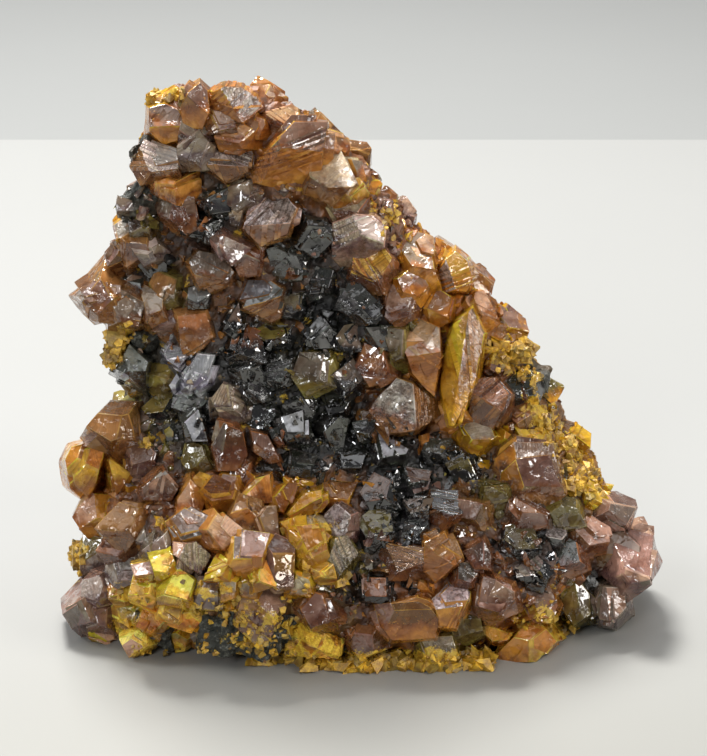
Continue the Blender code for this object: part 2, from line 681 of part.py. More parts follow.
def crystal_planes(half_wide, half_tall, facing, tilt, draw):
    """The faces of a stubby prism with a slanted, chisel-like end, and its peak's height."""
    planes = []
    sides = 5 if half_wide * half_tall > FEWER_SIDES else 4
    for k in range(sides):
        azimuth = 360 / sides * k + draw.uniform(-17, 17)
        a = math.radians(azimuth)
        reach = math.hypot(half_wide * math.cos(a), half_tall * math.sin(a))
        planes.append((way_out(azimuth, draw.uniform(74, 86)), reach * draw.uniform(0.88, 1.0)))
    tip = 0.5 * math.sqrt(half_wide * half_tall) + 1.4
    peak = Vector(way_out(facing + 180, 90)) * min(half_wide, half_tall) * 0.3
    peak.z = tip
    for turn, slope, rise in (
        (facing, tilt, 0.0),
        (facing + 180 + draw.uniform(-25, 25), draw.uniform(36, 54), 0.04),
        (facing + draw.choice((-90, 90)) + draw.uniform(-20, 20), draw.uniform(42, 60), 0.2),
    ):
        way = way_out(turn, slope)
        planes.append((way, way.dot(peak) + rise * tip))
    return planes


def small_crystal(tree, row, draw):
    """The growth and the faces of a crystal set out by its row."""
    across, up, width, height, turn, facing, tilt, out = row
    place, normal, distance, gap = meet(tree, across, up)
    back = -sight_line(across, up)
    scale = ROW_SCALE * distance / (TARGET - EYE).length
    lean = Vector([draw.uniform(-LEAN, LEAN) for _ in range(3)])
    axis = (back * 0.75 + normal * 0.45 + lean).normalized()
    a = math.radians(turn)
    side = ACROSS * math.cos(a) + ACROSS.cross(-back) * math.sin(a)
    growth = Growth(place + back * (out + 0.2), axis, side, out + 2.4 + gap)
    planes = crystal_planes(width / 2 * scale, height / 2 * scale, facing - turn, tilt, draw)
    return growth, planes


def large_crystal(tree, entry):
    """The growth and the faces of a crystal set out by its outline, its peak and its faces."""
    outline, peak, faces = entry
    middle_u = sum(p[0] for p in outline) / len(outline)
    middle_w = sum(p[1] for p in outline) / len(outline)
    place, _, distance, gap = meet(tree, middle_u, middle_w)
    back = -sight_line(middle_u, middle_w)
    scale = distance / (TARGET - EYE).length
    corners = [Vector((u - middle_u, w - middle_w, 0)) * scale for u, w in outline]
    round_way = sum(a.x * b.y - a.y * b.x for a, b in pairwise([*corners, corners[0]]))
    planes = []
    for a, b in pairwise([*corners, corners[0]]):
        along = (b - a).normalized() * math.copysign(1, round_way)
        way = Vector((along.y, -along.x, math.sin(math.radians(TAPER)))).normalized()
        planes.append((way, way.dot(a)))
    top = Vector(((peak[0] - middle_u) * scale, (peak[1] - middle_w) * scale, peak[2] * scale))
    for facing, tilt in faces:
        way = way_out(facing, tilt)
        planes.append((way, way.dot(top)))
    growth = Growth(place + back * LARGE_OUT, back, ACROSS, LARGE_OUT + 3.2 + gap)
    return growth, planes


def grow_crystal(growth, planes):
    """A crystal's solid where it stands, with a blunt root."""
    root = [(way_out(azimuth, 142), growth.root * 0.95) for azimuth in (40, 160, 280)]
    bm = cut_block(60, [*planes, *root])
    bmesh.ops.transform(bm, matrix=growth.frame(), verts=bm.verts)
    return bm


def lump_bmesh(centre, span, count, draw):
    """A blunt, many-sided lump."""
    planes = []
    for k in range(count):
        height = 1 - 2 * (k + 0.5) / count
        turn = k * math.pi * (3 - math.sqrt(5))
        ring = math.sqrt(1 - height * height)
        way = Vector((ring * math.cos(turn), ring * math.sin(turn), height))
        way += Vector([draw.uniform(-0.25, 0.25) for _ in range(3)])
        way.normalize()
        stretch = Vector([way[i] * span[i] / 2 for i in range(3)]).length
        planes.append((way, stretch * draw.uniform(0.82, 1.0)))
    bm = cut_block(3 * max(span), planes)
    bmesh.ops.translate(bm, vec=centre, verts=bm.verts)
    return bm


def fill_crystals(crust, taken, draw):
    """Crystals between the others and round the sides, each where the crust is free."""
    faces = [f for f in crust.faces if f.calc_center_median().y < FILL_BACK and f.normal.z > -0.6]
    areas = [f.calc_area() for f in faces]
    made = []
    for _ in range(FILL_TRIES):
        face = draw.choices(faces, areas)[0]
        a, b, c = (v.co for v in face.verts[:3])
        s, t = sorted((draw.random(), draw.random()))
        spot = a * s + b * (t - s) + c * (1 - t)
        half = draw.uniform(*FILL_SIZE) / 2
        room = min((spot - other).length - radius for other, radius in taken)
        if spot.z < 5 or room < half * FILL_SPACE or len(made) == FILL_LIMIT:
            continue
        lean = Vector([draw.uniform(-0.35, 0.35) for _ in range(3)])
        side = Vector([draw.uniform(-1, 1) for _ in range(3)])
        growth = Growth(spot, face.normal + lean, side, 2.4)
        tall = half * draw.uniform(0.75, 1.2)
        planes = crystal_planes(half, tall, draw.uniform(0, 360), draw.uniform(14, 38), draw)
        made.append((growth, planes))
        taken.append((spot, half))
    return made


def combine(name, first, others, operation):
    """A new object: the first object's solid joined with the others, or cut by them."""
    pieces = bpy.data.collections.new(name + "_pieces")
    for other in others:
        pieces.objects.link(other)
    step = first.modifiers.new("combine", "BOOLEAN")
    step.operation = operation
    step.operand_type = "COLLECTION"
    step.collection = pieces
    step.solver = "EXACT"
    bpy.context.view_layer.update()
    shown = first.evaluated_get(bpy.context.evaluated_depsgraph_get())
    made = bpy.data.objects.new(name, bpy.data.meshes.new_from_object(shown))
    made.data.name = name
    bpy.context.scene.collection.objects.link(made)
    for old in [first, *others]:
        bpy.data.objects.remove(old)
    bpy.data.collections.remove(pieces)
    return made


def bodies(bm):
    """The bmesh's vertices in groups that hang together, the largest first."""
    groups = []
    left = set(bm.verts)
    while left:
        start = left.pop()
        group, open_ends = {start}, [start]
        while open_ends:
            here = open_ends.pop()
            for edge in here.link_edges:
                there = edge.other_vert(here)
                if there in left:
                    left.discard(there)
                    group.add(there)
                    open_ends.append(there)
        groups.append(group)
    return sorted(groups, key=len, reverse=True)


def tidy_solid(obj):
    """Leaves the object's one outer skin, with its flat faces whole before they are split."""
    bm = bmesh.new()
    bm.from_mesh(obj.data)
    bmesh.ops.dissolve_limit(bm, angle_limit=math.radians(0.5), verts=bm.verts, edges=bm.edges)
    bmesh.ops.triangulate(bm, faces=bm.faces)
    for group in bodies(bm)[1:]:
        bmesh.ops.delete(bm, geom=list(group), context="VERTS")
    bm.to_mesh(obj.data)
    bm.free()


def thin_out(obj, share):
    """Leaves this share of the object's faces, by closing up its shortest edges first."""
    step = obj.modifiers.new("thin_out", "DECIMATE")
    step.ratio = share
    bpy.context.view_layer.update()
    shown = obj.evaluated_get(bpy.context.evaluated_depsgraph_get())
    thinner = bpy.data.meshes.new_from_object(shown)
    obj.modifiers.remove(step)
    obj.data = thinner


def paint(obj, name, colour, roughness, ior):
    """Gives the object its material."""
    finish = bpy.data.materials.new(name)
    finish.use_nodes = True
    shader = finish.node_tree.nodes["Principled BSDF"]
    shader.inputs["Base Color"].default_value = (*colour, 1)
    shader.inputs["Roughness"].default_value = roughness
    shader.inputs["Metallic"].default_value = 0.0
    shader.inputs["IOR"].default_value = ior
    obj.data.materials.clear()
    obj.data.materials.append(finish)


def rock_lumps(grow, seeds):
    """The lumps of the rock, grown outwards by the given amount."""
    made = []
    for (across, depth, height, size), seed in zip(ROCK_LUMPS, seeds):
        span = (size + 2 * grow, size * 0.8 + 2 * grow, size * 0.9 + 2 * grow)
        lump = lump_bmesh(Vector((across, depth, height)), span, LUMP_FACES, random.Random(seed))
        made.append(make_object("lump", lump))
    return made


def behind():
    """A block that fills the space behind the crust's uneven back edge."""
    bm = bmesh.new()
    made = bmesh.ops.create_grid(bm, x_segments=14, y_segments=14, size=70)
    for v in made["verts"]:
        height = v.co.y + 45
        depth = CRUST_BACK[0] + CRUST_BACK[1] * height
        place = Vector((v.co.x, 0, height)) / BACK_PITCH
        v.co = Vector((v.co.x, depth + BACK_STRAY * noise.noise(place), height))
    far = bmesh.ops.extrude_face_region(bm, geom=bm.faces[:])["geom"]
    for v in far:
        if isinstance(v, bmesh.types.BMVert):
            v.co.y = 80
    bmesh.ops.recalc_face_normals(bm, faces=bm.faces)
    return make_object("behind", bm)


def ground():
    """A block that fills the space under the crust's foot."""
    bm = bmesh.new()
    bmesh.ops.create_cube(bm, size=1)
    bmesh.ops.scale(bm, vec=(160, 160, 40), verts=bm.verts)
    bmesh.ops.translate(bm, vec=(0, 0, CRUST_FOOT - 20), verts=bm.verts)
    return make_object("ground", bm)


def build_rock(seeds):
    """The host rock, with a flat base."""
    rock = combine("host_rock", make_object("wedge", rock_bmesh()), rock_lumps(0, seeds), "UNION")
    tidy_solid(rock)
    paint(rock, "host_rock", (0.055, 0.06, 0.045), 0.6, 1.6)


def build_crystals(seeds, draw):
    """The crust with everything that grew from it, cut to stand just clear of the rock."""
    crust = rock_bmesh(CRUST)
    tree = BVHTree.FromBMesh(crust)
    grown = [large_crystal(tree, entry) for entry in LARGE]
    grown += [small_crystal(tree, row, draw) for row in SMALL]
    pieces = [make_object("crystal", grow_crystal(*each)) for each in grown]
    taken = [(growth.middle, 3.0) for growth, _ in grown]
    for across, up, width, height, out in NODULES:
        place, _, _, _ = meet(tree, across, up)
        spot = place - sight_line(across, up) * out
        span = (width, (width + height) / 2 + 2, height)
        pieces.append(make_object("nodule", lump_bmesh(spot, span, LUMP_FACES, draw)))
        taken.append((spot, width / 2))
    pieces += [make_object("crystal", grow_crystal(*each)) for each in fill_crystals(crust, taken, draw)]
    whole = combine("grown", make_object("crust", crust), pieces, "UNION")
    room = [make_object("room", rock_bmesh(GAP)), ground(), behind(), *rock_lumps(GAP, seeds)]
    orpiment = combine("orpiment_crystals", whole, room, "DIFFERENCE")
    tidy_solid(orpiment)
    thin_out(orpiment, CRUST_SHARE)
    paint(orpiment, "orpiment", (0.42, 0.16, 0.03), 0.2, 2.4)


def main():
    """Builds the specimen."""
    for old in list(bpy.data.objects):
        bpy.data.objects.remove(old)
    draw = random.Random(SEED)
    seeds = [draw.random() for _ in ROCK_LUMPS]
    build_rock(seeds)
    build_crystals(seeds, draw)


main()
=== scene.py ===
"""The looks of an orpiment specimen: amber crystals grown together over a dark, broken rock.

The frame's solids are in metres, +Z up, with the crystal-covered front towards -Y. Everything here
is laid out in millimetres in that same frame and becomes metres where a mesh is made. The host
rock, the crust of massive orpiment, the crystals and the yellow rim are each a class that holds
its own sizes, grows its shapes and dresses them.
"""

import logging
from dataclasses import dataclass, field, replace
from enum import Enum
from functools import lru_cache
from itertools import combinations, pairwise
from math import copysign, cos, exp, hypot, pi, radians, sin, sqrt
from random import Random
from typing import Any

import bmesh
import bpy
import numpy as np
from bmesh.types import BMesh, BMVert
from bpy.types import Material, Mesh, Node, NodeSocket, NodeTree, Object
from mathutils import Euler, Matrix, Vector, noise
from mathutils.bvhtree import BVHTree
from mathutils.kdtree import KDTree


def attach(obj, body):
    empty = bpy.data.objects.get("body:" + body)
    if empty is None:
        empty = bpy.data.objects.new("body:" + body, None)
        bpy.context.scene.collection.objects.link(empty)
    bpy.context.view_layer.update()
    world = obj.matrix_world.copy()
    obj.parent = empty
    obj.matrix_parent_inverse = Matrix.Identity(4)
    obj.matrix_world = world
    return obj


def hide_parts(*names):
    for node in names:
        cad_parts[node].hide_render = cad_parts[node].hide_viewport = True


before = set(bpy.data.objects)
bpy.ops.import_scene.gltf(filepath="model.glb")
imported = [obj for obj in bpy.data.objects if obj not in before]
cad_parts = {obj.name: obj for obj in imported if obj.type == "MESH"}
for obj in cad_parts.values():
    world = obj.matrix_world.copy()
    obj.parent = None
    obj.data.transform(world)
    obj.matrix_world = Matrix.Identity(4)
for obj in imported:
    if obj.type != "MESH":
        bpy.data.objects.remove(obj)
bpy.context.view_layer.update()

log = logging.getLogger("orpiment")

MM = 0.001
SEED = 7
BODY = "root"
ROCK_NODE = "host_rock"
CRYSTAL_NODE = "orpiment_crystals"

Array = np.ndarray
Pair = tuple[float, float]
Colour = tuple[float, float, float]
Span = tuple[float, float, float]
Rows = tuple[tuple[Any, ...], ...]
Tint = tuple[float, float, float, float]
Plane = tuple[Vector, float]

# The eye that the crystals are set out for, the point it looks at, and that point's place on the
# sighting plane.
EYE = Vector((-1.0, -315.6, 166.6))
TARGET = Vector((-1.0, -9.6, 43.0))
SIGHT = (-1.0, 46.4)
ACROSS = Vector((1, 0, 0))

# Where the parts of the crystal cover meet: two heights, and three places across.
SUMMIT_FOOT, LEDGE_TOP = 64, 31
HOLLOW_LEFT, HOLLOW_RIGHT, LEDGE_RIGHT = -22, 6, 0


class Clarity(Enum):
    """How much light a crystal lets in, which is also its place among a mesh's materials."""

    CLEAR = 0
    CLOUDY = 1
    DARK = 2
    POWDERY = 3


class Tone(Enum):
    """A colour that crystals come in: its letter in the tables, its colour, its frost and its clarity."""

    # The lilac, white and silver tones, and the mauve in part, are painted sheen: the pale look of faces that
    # mirror the overhead light, painted into their colour; the white is in part also a frosted face.
    AMBER = "A", (0.76, 0.245, 0.030), 0.05, Clarity.CLEAR
    ORANGE = "O", (0.94, 0.320, 0.022), 0.05, Clarity.CLEAR
    YELLOW = "Y", (0.95, 0.41, 0.012), 0.12, Clarity.CLEAR
    PEACH = "P", (0.52, 0.280, 0.140), 0.25, Clarity.CLOUDY
    MAUVE = "M", (0.25, 0.130, 0.085), 0.2, Clarity.CLOUDY
    LILAC_SHEEN = "L", (0.41, 0.310, 0.255), 0.3, Clarity.CLOUDY
    WHITE = "W", (0.40, 0.33, 0.30), 0.55, Clarity.CLOUDY
    BROWN = "B", (0.34, 0.130, 0.030), 0.1, Clarity.CLEAR
    RED = "R", (0.21, 0.070, 0.020), 0.05, Clarity.CLOUDY
    OLIVE = "V", (0.15, 0.11, 0.020), 0.2, Clarity.CLOUDY
    TAUPE = "T", (0.18, 0.128, 0.085), 0.3, Clarity.CLOUDY
    BEIGE = "E", (0.36, 0.28, 0.15), 0.45, Clarity.CLOUDY
    LEMON = "Z", (0.84, 0.50, 0.075), 0.3, Clarity.POWDERY
    SILVER_SHEEN = "I", (0.34, 0.35, 0.37), 0.15, Clarity.DARK
    STEEL = "S", (0.090, 0.091, 0.090), 0.2, Clarity.DARK
    GREY = "G", (0.037, 0.037, 0.030), 0.1, Clarity.DARK
    BLACK = "K", (0.010, 0.010, 0.008), 0.05, Clarity.DARK

    def __new__(cls, letter: str, colour: Colour, frost: float, clarity: Clarity) -> "Tone":
        """Takes the letter as the tone's value and keeps the rest beside it."""
        tone = object.__new__(cls)
        tone._value_, tone.colour, tone.frost, tone.clarity = letter, colour, frost, clarity
        return tone


# Painted light and shade on the crystals, which make them lighter where they catch light and darker where
# they lie in shade than their tones: across, up, how far round, and how much.
PAINTED_LIGHT_SPOTS = (
    (-30, 49, 8, 2.3), (26, 5, 7, 1.25), (6, 23, 9.5, 0.33), (24, 21, 9, 0.4), (-30, 12, 9, 1.3),
    (-19, 24, 7, 0.8), (-7, 20, 5, 0.85), (-1, 70, 5.5, 1.8), (-14.5, 71, 5, 2), (-10, 81, 7, 1.2),
    (41, 17, 6.5, 1.25), (-34, 10, 7, 1.2),
)


class Zone(Enum):
    """The parts of the crystal cover, by the names of their pieces."""

    SUMMIT = "summit_crystals"
    LEFT = "left_edge_crystals"
    HOLLOW = "hollow_crystals"
    RIDGE = "right_ridge_crystals"
    LEDGE = "ledge_crystals"
    SLOPE = "lower_right_crystals"

    @staticmethod
    def of(place: Array) -> "Zone":
        """The part that a place belongs to.

        Args:
            place: The place, in millimetres.

        Returns:
            The part.
        """
        across, _, height = place
        if height > SUMMIT_FOOT:
            return Zone.SUMMIT
        if height > LEDGE_TOP:
            return Zone.LEFT if across < HOLLOW_LEFT else Zone.HOLLOW if across < HOLLOW_RIGHT else Zone.RIDGE
        return Zone.LEDGE if across < LEDGE_RIGHT else Zone.SLOPE


# The larger crystals, each by the tones of its body and of the faces that meet at its peak, that
# peak's place and height, the way each face looks and its slope, and its outline on the sighting
# plane. A small letter is a face with growth lines.
LARGE = (
    # Summit
    ("OMO", (-30.5, 86.6, 4), ((100, 26), (265, 30)),
     ((-34, 89.8), (-34.2, 85.6), (-31.5, 83.4), (-28.2, 84.2),
      (-26.8, 87), (-28.8, 89.6), (-31, 90.6))),
    ("AMB", (-26.5, 90.5, 3.5), ((50, 26), (225, 32)),
     ((-25.6, 94), (-27.8, 92.3), (-29, 90), (-28.3, 86.2),
      (-25, 86), (-23.6, 89), (-24, 92.5))),
    ("AlA", (-21, 90.8, 4), ((32, 28), (215, 36)),
     ((-23.9, 92.5), (-21.8, 93.5), (-19, 93.2), (-16.5, 91.5),
      (-15.3, 89.8), (-18.5, 86.5), (-24.3, 89.5))),
    ("AeMA", (-12.5, 83.2, 5.5), ((205, 42), (15, 14), (280, 44)),
     ((-4.6, 87.8), (-10.8, 88), (-13.5, 85.2), (-19, 78.2),
      (-15, 77.2), (-10, 76.4), (-6, 79.6))),
    ("BlA", (-31.5, 79.8, 3.6), ((98, 38), (268, 26)),
     ((-36.2, 81.2), (-34.8, 83.4), (-31, 83.4), (-28.8, 82), (-29.4, 78.6), (-32.8, 78.2))),
    ("BwB", (-20.6, 80.4, 4.2), ((88, 50), (264, 28)),
     ((-24.6, 83.2), (-17, 82.8), (-17.4, 79), (-21.5, 77.4), (-25, 80))),
    ("BwM", (-14, 71, 5), ((98, 48), (268, 30)),
     ((-19.4, 70.2), (-18, 73.8), (-15, 75.6), (-11.6, 75.4),
      (-9.6, 73.6), (-11, 69), (-16, 67))),
    ("MtLE", (0.3, 69.2, 5), ((190, 22), (35, 34), (275, 42)),
     ((-4.8, 71.6), (-1, 73.2), (2, 72.6), (4.6, 70.2), (4.4, 67), (-2.6, 63.6), (-4.8, 65.6))),
    ("RMT", (-28.5, 73, 4), ((340, 12), (170, 38)),
     ((-32.6, 75.2), (-29.2, 76.6), (-26, 75.8), (-25.4, 70), (-27.8, 68.7), (-31.6, 71.6))),
    # Left edge
    ("BTB", (-24, 62.8, 4), ((90, 14), (250, 36)),
     ((-27.9, 65), (-26, 67.2), (-22, 66.6), (-20.1, 64), (-21.5, 61.3), (-25, 60.2))),
    ("BMB", (-41, 58.8, 3.8), ((110, 28), (265, 34)),
     ((-44.8, 59.4), (-41.5, 61.8), (-38.6, 61.2), (-38.4, 57.2), (-42, 56.4))),
    ("II", (-29, 50, 3.8), ((110, 10),),
     ((-31.8, 50.6), (-30.8, 52.4), (-26, 51), (-28.8, 47.2), (-31.4, 49))),
    ("II", (-25.8, 47, 4), ((60, 10),),
     ((-26.2, 50.8), (-22.6, 50.4), (-24, 46), (-27.6, 43), (-28.8, 46.5))),
    ("OOAY", (-43.9, 32.5, 4.2), ((165, 36), (340, 20), (280, 32)),
     ((-45.4, 35.2), (-41.2, 36.4), (-40.2, 35), (-42, 29),
      (-43.4, 27.2), (-46, 29.2), (-46.7, 32.4))),
    ("OW", (-38.5, 31, 4.6), ((20, 12),),
     ((-41, 33.6), (-39.8, 34.2), (-35.8, 31.4), (-37.6, 28), (-39.4, 26.4))),
    ("RMT", (-31.8, 30.6, 4), ((275, 12), (120, 40)),
     ((-31.8, 32.2), (-28.4, 28.6), (-30, 26.2), (-35, 26.4), (-35.4, 29))),
    # The hollow
    ("BSB", (-15.4, 58.6, 4), ((105, 32), (290, 28)),
     ((-19.4, 57.2), (-17.5, 61.8), (-14, 62.2), (-11.7, 60.8), (-12.8, 56.8), (-15.5, 55.5))),
    ("KGS", (-0.6, 58.6, 4), ((60, 26), (205, 22)),
     ((-4.6, 57.4), (-2.2, 62.2), (0.4, 61.8), (4.2, 58), (3, 55.4), (-1, 55.2))),
    ("KSK", (-6.6, 54, 3.4), ((100, 20), (330, 34)),
     ((-9.6, 53.4), (-6.3, 57.2), (-3.8, 54), (-4.6, 51), (-7.4, 50.6))),
    ("RRT", (-21.8, 36, 4), ((350, 16), (170, 36)),
     ((-22, 40), (-18.3, 38.2), (-17.5, 34), (-19.5, 31), (-23.2, 31), (-24.2, 35.5))),
    ("RMR", (-15.6, 35.2, 3.6), ((50, 28), (240, 24)),
     ((-18, 38.6), (-14.5, 37.6), (-11.8, 32.6), (-14.5, 32.2), (-17.4, 34.4))),
    # Upper right
    ("OlO", (14.6, 62.8, 4.6), ((200, 36), (20, 20)),
     ((11, 61.8), (13.2, 65.8), (15.3, 67.4), (17.5, 65.6), (18.5, 62), (17.4, 59.6), (12, 59.6))),
    ("YYp", (16.2, 49, 5.6), ((172, 36), (350, 24)),
     ((18.2, 58.8), (14.6, 55.2), (13, 50.5), (12.4, 45),
      (13.6, 38.2), (15.6, 38), (19.2, 46), (20.6, 53.5))),
    ("APA", (10.4, 50.2, 4.2), ((98, 34), (280, 20)),
     ((6.4, 55), (9, 56.2), (13, 54.6), (13.6, 50), (12, 43), (8, 46.8), (6.4, 51))),
    ("RrB", (20, 42.8, 4.6), ((60, 26), (235, 24)),
     ((17.2, 45.6), (18.2, 46.8), (22, 46.9), (24.3, 44), (23.6, 41), (21, 37), (16.9, 38.8))),
    ("BWb", (8.8, 41.5, 5.2), ((180, 11), (5, 40)),
     ((0.7, 41.2), (2.6, 43.8), (5.8, 47.2), (8.8, 46.2),
      (12.6, 42.6), (13.2, 40.4), (9, 37.2), (4, 36.8))),
    ("BOMV", (25.5, 31, 5), ((190, 32), (10, 14), (280, 36)),
     ((24.4, 36.8), (31.2, 36.4), (33, 28), (30, 25.8), (25, 25.4), (20.6, 29.2), (21.4, 33.8))),
    # The ledge
    ("APA", (-27.2, 28.5, 4.2), ((190, 28), (10, 26)),
     ((-27.2, 31.2), (-24, 27.6), (-25, 24.2), (-29.8, 23.8), (-29.6, 27))),
    ("AAY", (-17, 29, 4), ((330, 15), (130, 42)),
     ((-14, 31.6), (-17, 30.8), (-19.8, 27.8), (-17.8, 25.8), (-13.4, 26))),
    ("YYA", (-8.5, 26, 4.2), ((120, 30), (300, 25)),
     ((-12.6, 24.6), (-9.2, 28.4), (-5.7, 29.2), (-5.4, 26.2), (-7.2, 24.1), (-10.8, 23))),
    ("TLT", (-31.2, 20, 4), ((200, 26), (10, 30)),
     ((-30.6, 22.9), (-34.2, 19.3), (-33.4, 17.8), (-30, 16.8), (-29.6, 20.5))),
    ("MeP", (-28.3, 18.6, 4.6), ((0, 12), (150, 38)),
     ((-30.2, 20.6), (-26, 20.7), (-23.2, 18), (-25.3, 14.4), (-27.5, 15.4), (-30.4, 17.8))),
    ("YZZ", (-37.8, 9, 4.6), ((200, 22), (20, 24)),
     ((-39.8, 11.6), (-37, 13.2), (-34.8, 11.5), (-34.6, 8.5),
      (-36, 5.4), (-39, 5), (-40.8, 8))),
    ("YYZ", (-32, 7.5, 4.2), ((100, 25), (290, 28)),
     ((-33.2, 9.6), (-30.6, 10.1), (-29.4, 8.2), (-30, 5.8), (-33, 4.4), (-35, 5.3))),
    # Lower right
    ("ABMB", (5.6, 9.2, 5), ((80, 12), (195, 40), (275, 34)),
     ((1.7, 10.8), (4.5, 11), (8.2, 11.9), (11.6, 10.3),
      (13.2, 8), (12.2, 4.6), (5, 4.2), (3, 6.5))),
    ("OWO", (14.4, 9.6, 4.2), ((100, 42), (275, 25)),
     ((11, 11), (14.3, 13.8), (16.8, 12.8), (17.1, 10), (15.4, 6), (12.4, 6.4))),
    ("OP", (21.5, 5.6, 4), ((275, 10),),
     ((18.2, 6.4), (20.2, 7.4), (24.7, 6), (23.4, 4.1), (21, 3.6))),
    ("OAOO", (27, 4.4, 5), ((100, 30), (230, 24), (330, 36)),
     ((20.6, 1.4), (23.5, 4.6), (26.5, 7.8), (29.8, 6.6), (31.5, 3.8), (28.4, 0.6), (25, 0.2))),
    ("MTB", (41.2, 18.2, 4.8), ((88, 26), (268, 20)),
     ((39.6, 22.2), (42.5, 22.2), (45.4, 19.8), (45.2, 16), (42, 14.2), (38, 14.4), (36.6, 16.4))),
    ("VVT", (34.8, 11.5, 4.2), ((190, 26), (10, 26)),
     ((34.8, 15.6), (31.7, 13), (31.8, 9.5), (34, 6.1), (37.4, 8.3), (37.2, 12))),
    ("TTM", (39.6, 10.6, 4), ((185, 24), (5, 24)),
     ((38.2, 13.6), (42.2, 13.2), (42.4, 9.6), (40.4, 6.9), (38, 7.5), (37.2, 10.6))),
    ("AMY", (27.8, 10.6, 4.2), ((45, 22), (190, 34)),
     ((25.3, 13.4), (30.5, 13.8), (32.2, 10), (31, 7.4), (27.2, 7.2), (25.8, 9))),
    ("ABA", (12.8, 18, 4.2), ((60, 24), (230, 28)),
     ((9.8, 20.4), (13.8, 22.1), (15.2, 19.5), (16.2, 16.3), (12, 13.3), (9.8, 15.5))),
    ("RMM", (19.8, 18, 4), ((180, 26), (0, 26)),
     ((20, 21.4), (21.5, 18.5), (21.4, 15.1), (18, 15.3), (16, 18.6))),
)

# The smaller crystals, part by part: across, up, width, height, turn, the way the main face looks
# and its slope, how far the crystal is set out, and the tones of its body and of that face.
SUMMIT = (
    (-26.2, 85.6, 5, 4.6, -30, 60, 30, 1, "MT"), (-19.6, 84.8, 7.6, 4, -5, 80, 30, 1, "AP"),
    (-12.6, 87.5, 5.4, 4.2, 15, 60, 35, 0, "RP"), (-4.8, 78.3, 7, 7.2, 20, 95, 42, 2, "BE"),
    (-2, 75.8, 6, 3.6, 18, 60, 30, 1, "OO"), (-31.4, 77.8, 6.4, 4, -8, 250, 25, 1, "AA"),
    (-26.1, 82.4, 5.6, 5.2, -20, 75, 30, 3, "TT"), (-23, 74.8, 5.2, 5.6, 0, 20, 16, 0, "GS"),
    (-24.2, 70.4, 5.4, 4.8, 12, 10, 34, 1, "Ks"), (-7.4, 69, 6.2, 5.6, 20, 250, 20, 1, "KG"),
    (-1.8, 73.6, 6.2, 3.4, 5, 90, 44, 0, "RE"), (-18.4, 75.6, 5.6, 4.8, 30, 120, 26, 0, "TT"),
)
LEFT_EDGE = (
    (-36, 67.2, 5.6, 4.4, 15, 280, 24, 1, "BM"), (-36.6, 64, 7, 3.8, -4, 80, 34, 2, "ML"),
    (-32.6, 66, 5.4, 6.6, 10, 300, 22, 0, "KG"), (-21, 67.4, 5.2, 3.6, -42, 40, 24, 3, "ML"),
    (-18, 65.6, 5, 5.8, 0, 320, 26, 1, "RT"), (-37.6, 57.4, 5.6, 5.8, -10, 20, 26, 1, "BT"),
    (-35.6, 61, 5.2, 4.8, -30, 200, 22, 0, "GI"), (-30.8, 60.2, 5.6, 6, 0, 100, 24, 1, "VB"),
    (-27, 55.6, 6.2, 9.2, 5, 0, 18, 0, "BR"), (-34.2, 53.2, 6.4, 4.2, -22, 80, 30, 1, "TL"),
    (-30.8, 45.8, 5.2, 5.8, 20, 240, 20, 0, "VV"), (-36, 48.4, 4.6, 4.2, -25, 90, 30, 0, "GS"),
    (-31.6, 41.6, 5, 4.4, 30, 100, 30, 0, "GV"), (-34, 38.8, 4.4, 4.6, 0, 100, 30, 0, "VT"),
    (-38.9, 39, 5.8, 6.8, 3, 180, 14, 1, "BB"), (-35.4, 33.6, 6.2, 6, -20, 110, 24, 1, "MM"),
    (-25.8, 33, 4.6, 5.8, 10, 160, 24, 0, "VV"), (-26.6, 38.8, 3.6, 5.6, 12, 30, 16, 2, "GI"),
    (-23.2, 40.8, 3.8, 7, 5, 0, 26, 0, "KT"),
)
CENTRE = (
    (-18.2, 51.4, 6.8, 6.8, 0, 80, 18, 0, "KR"), (-18, 47.2, 5.6, 4.2, 10, 290, 24, 0, "KG"),
    (-12.8, 53.4, 5.8, 5, -8, 85, 34, 0, "KV"), (-2.6, 53, 4.8, 4.8, 10, 20, 26, 0, "KT"),
    (-12.8, 47, 4.8, 4.4, 0, 160, 32, 1, "Ks"), (-7, 47.4, 7, 6.6, 10, 110, 18, 1, "VT"),
    (-2, 46.2, 5.4, 4.2, 32, 50, 24, 2, "GT"), (-20.4, 42, 4.6, 6.2, 8, 100, 20, 1, "Te"),
    (-17.2, 45, 3.8, 5.2, 20, 60, 32, 0, "GS"), (-9.6, 43, 5.8, 5.6, -20, 200, 22, 0, "GG"),
    (-10.8, 38.2, 4.4, 4.6, 20, 80, 22, 2, "GI"), (-4.6, 37.6, 5.2, 6, 0, 300, 20, 0, "KG"),
    (4.8, 34.4, 6, 4.2, -8, 85, 26, 1, "GI"), (2.8, 48.4, 6.4, 5.8, 0, 120, 16, 1, "RR"),
    (3.6, 52.6, 4.8, 5.2, 10, 20, 24, 0, "GG"), (8.4, 29.8, 5, 4.4, -10, 90, 32, 1, "GM"),
    (3.8, 27.4, 7, 5.4, -15, 100, 18, 1, "KM"), (12.6, 34.4, 5.6, 4.6, 10, 80, 26, 0, "KG"),
    (17.2, 31.8, 6.4, 4.8, -10, 290, 24, 0, "KV"), (-6.6, 61.8, 5.6, 4.4, 10, 100, 34, 0, "GS"),
    (-3.4, 42, 4.8, 4.4, 0, 90, 30, 0, "KG"), (-14.4, 40.8, 4.6, 4.4, 0, 130, 26, 0, "KK"),
    (-9, 31.8, 4.8, 4.2, 0, 90, 26, 0, "KG"), (-1.8, 33, 4.8, 4, 0, 80, 34, 0, "KK"),
)
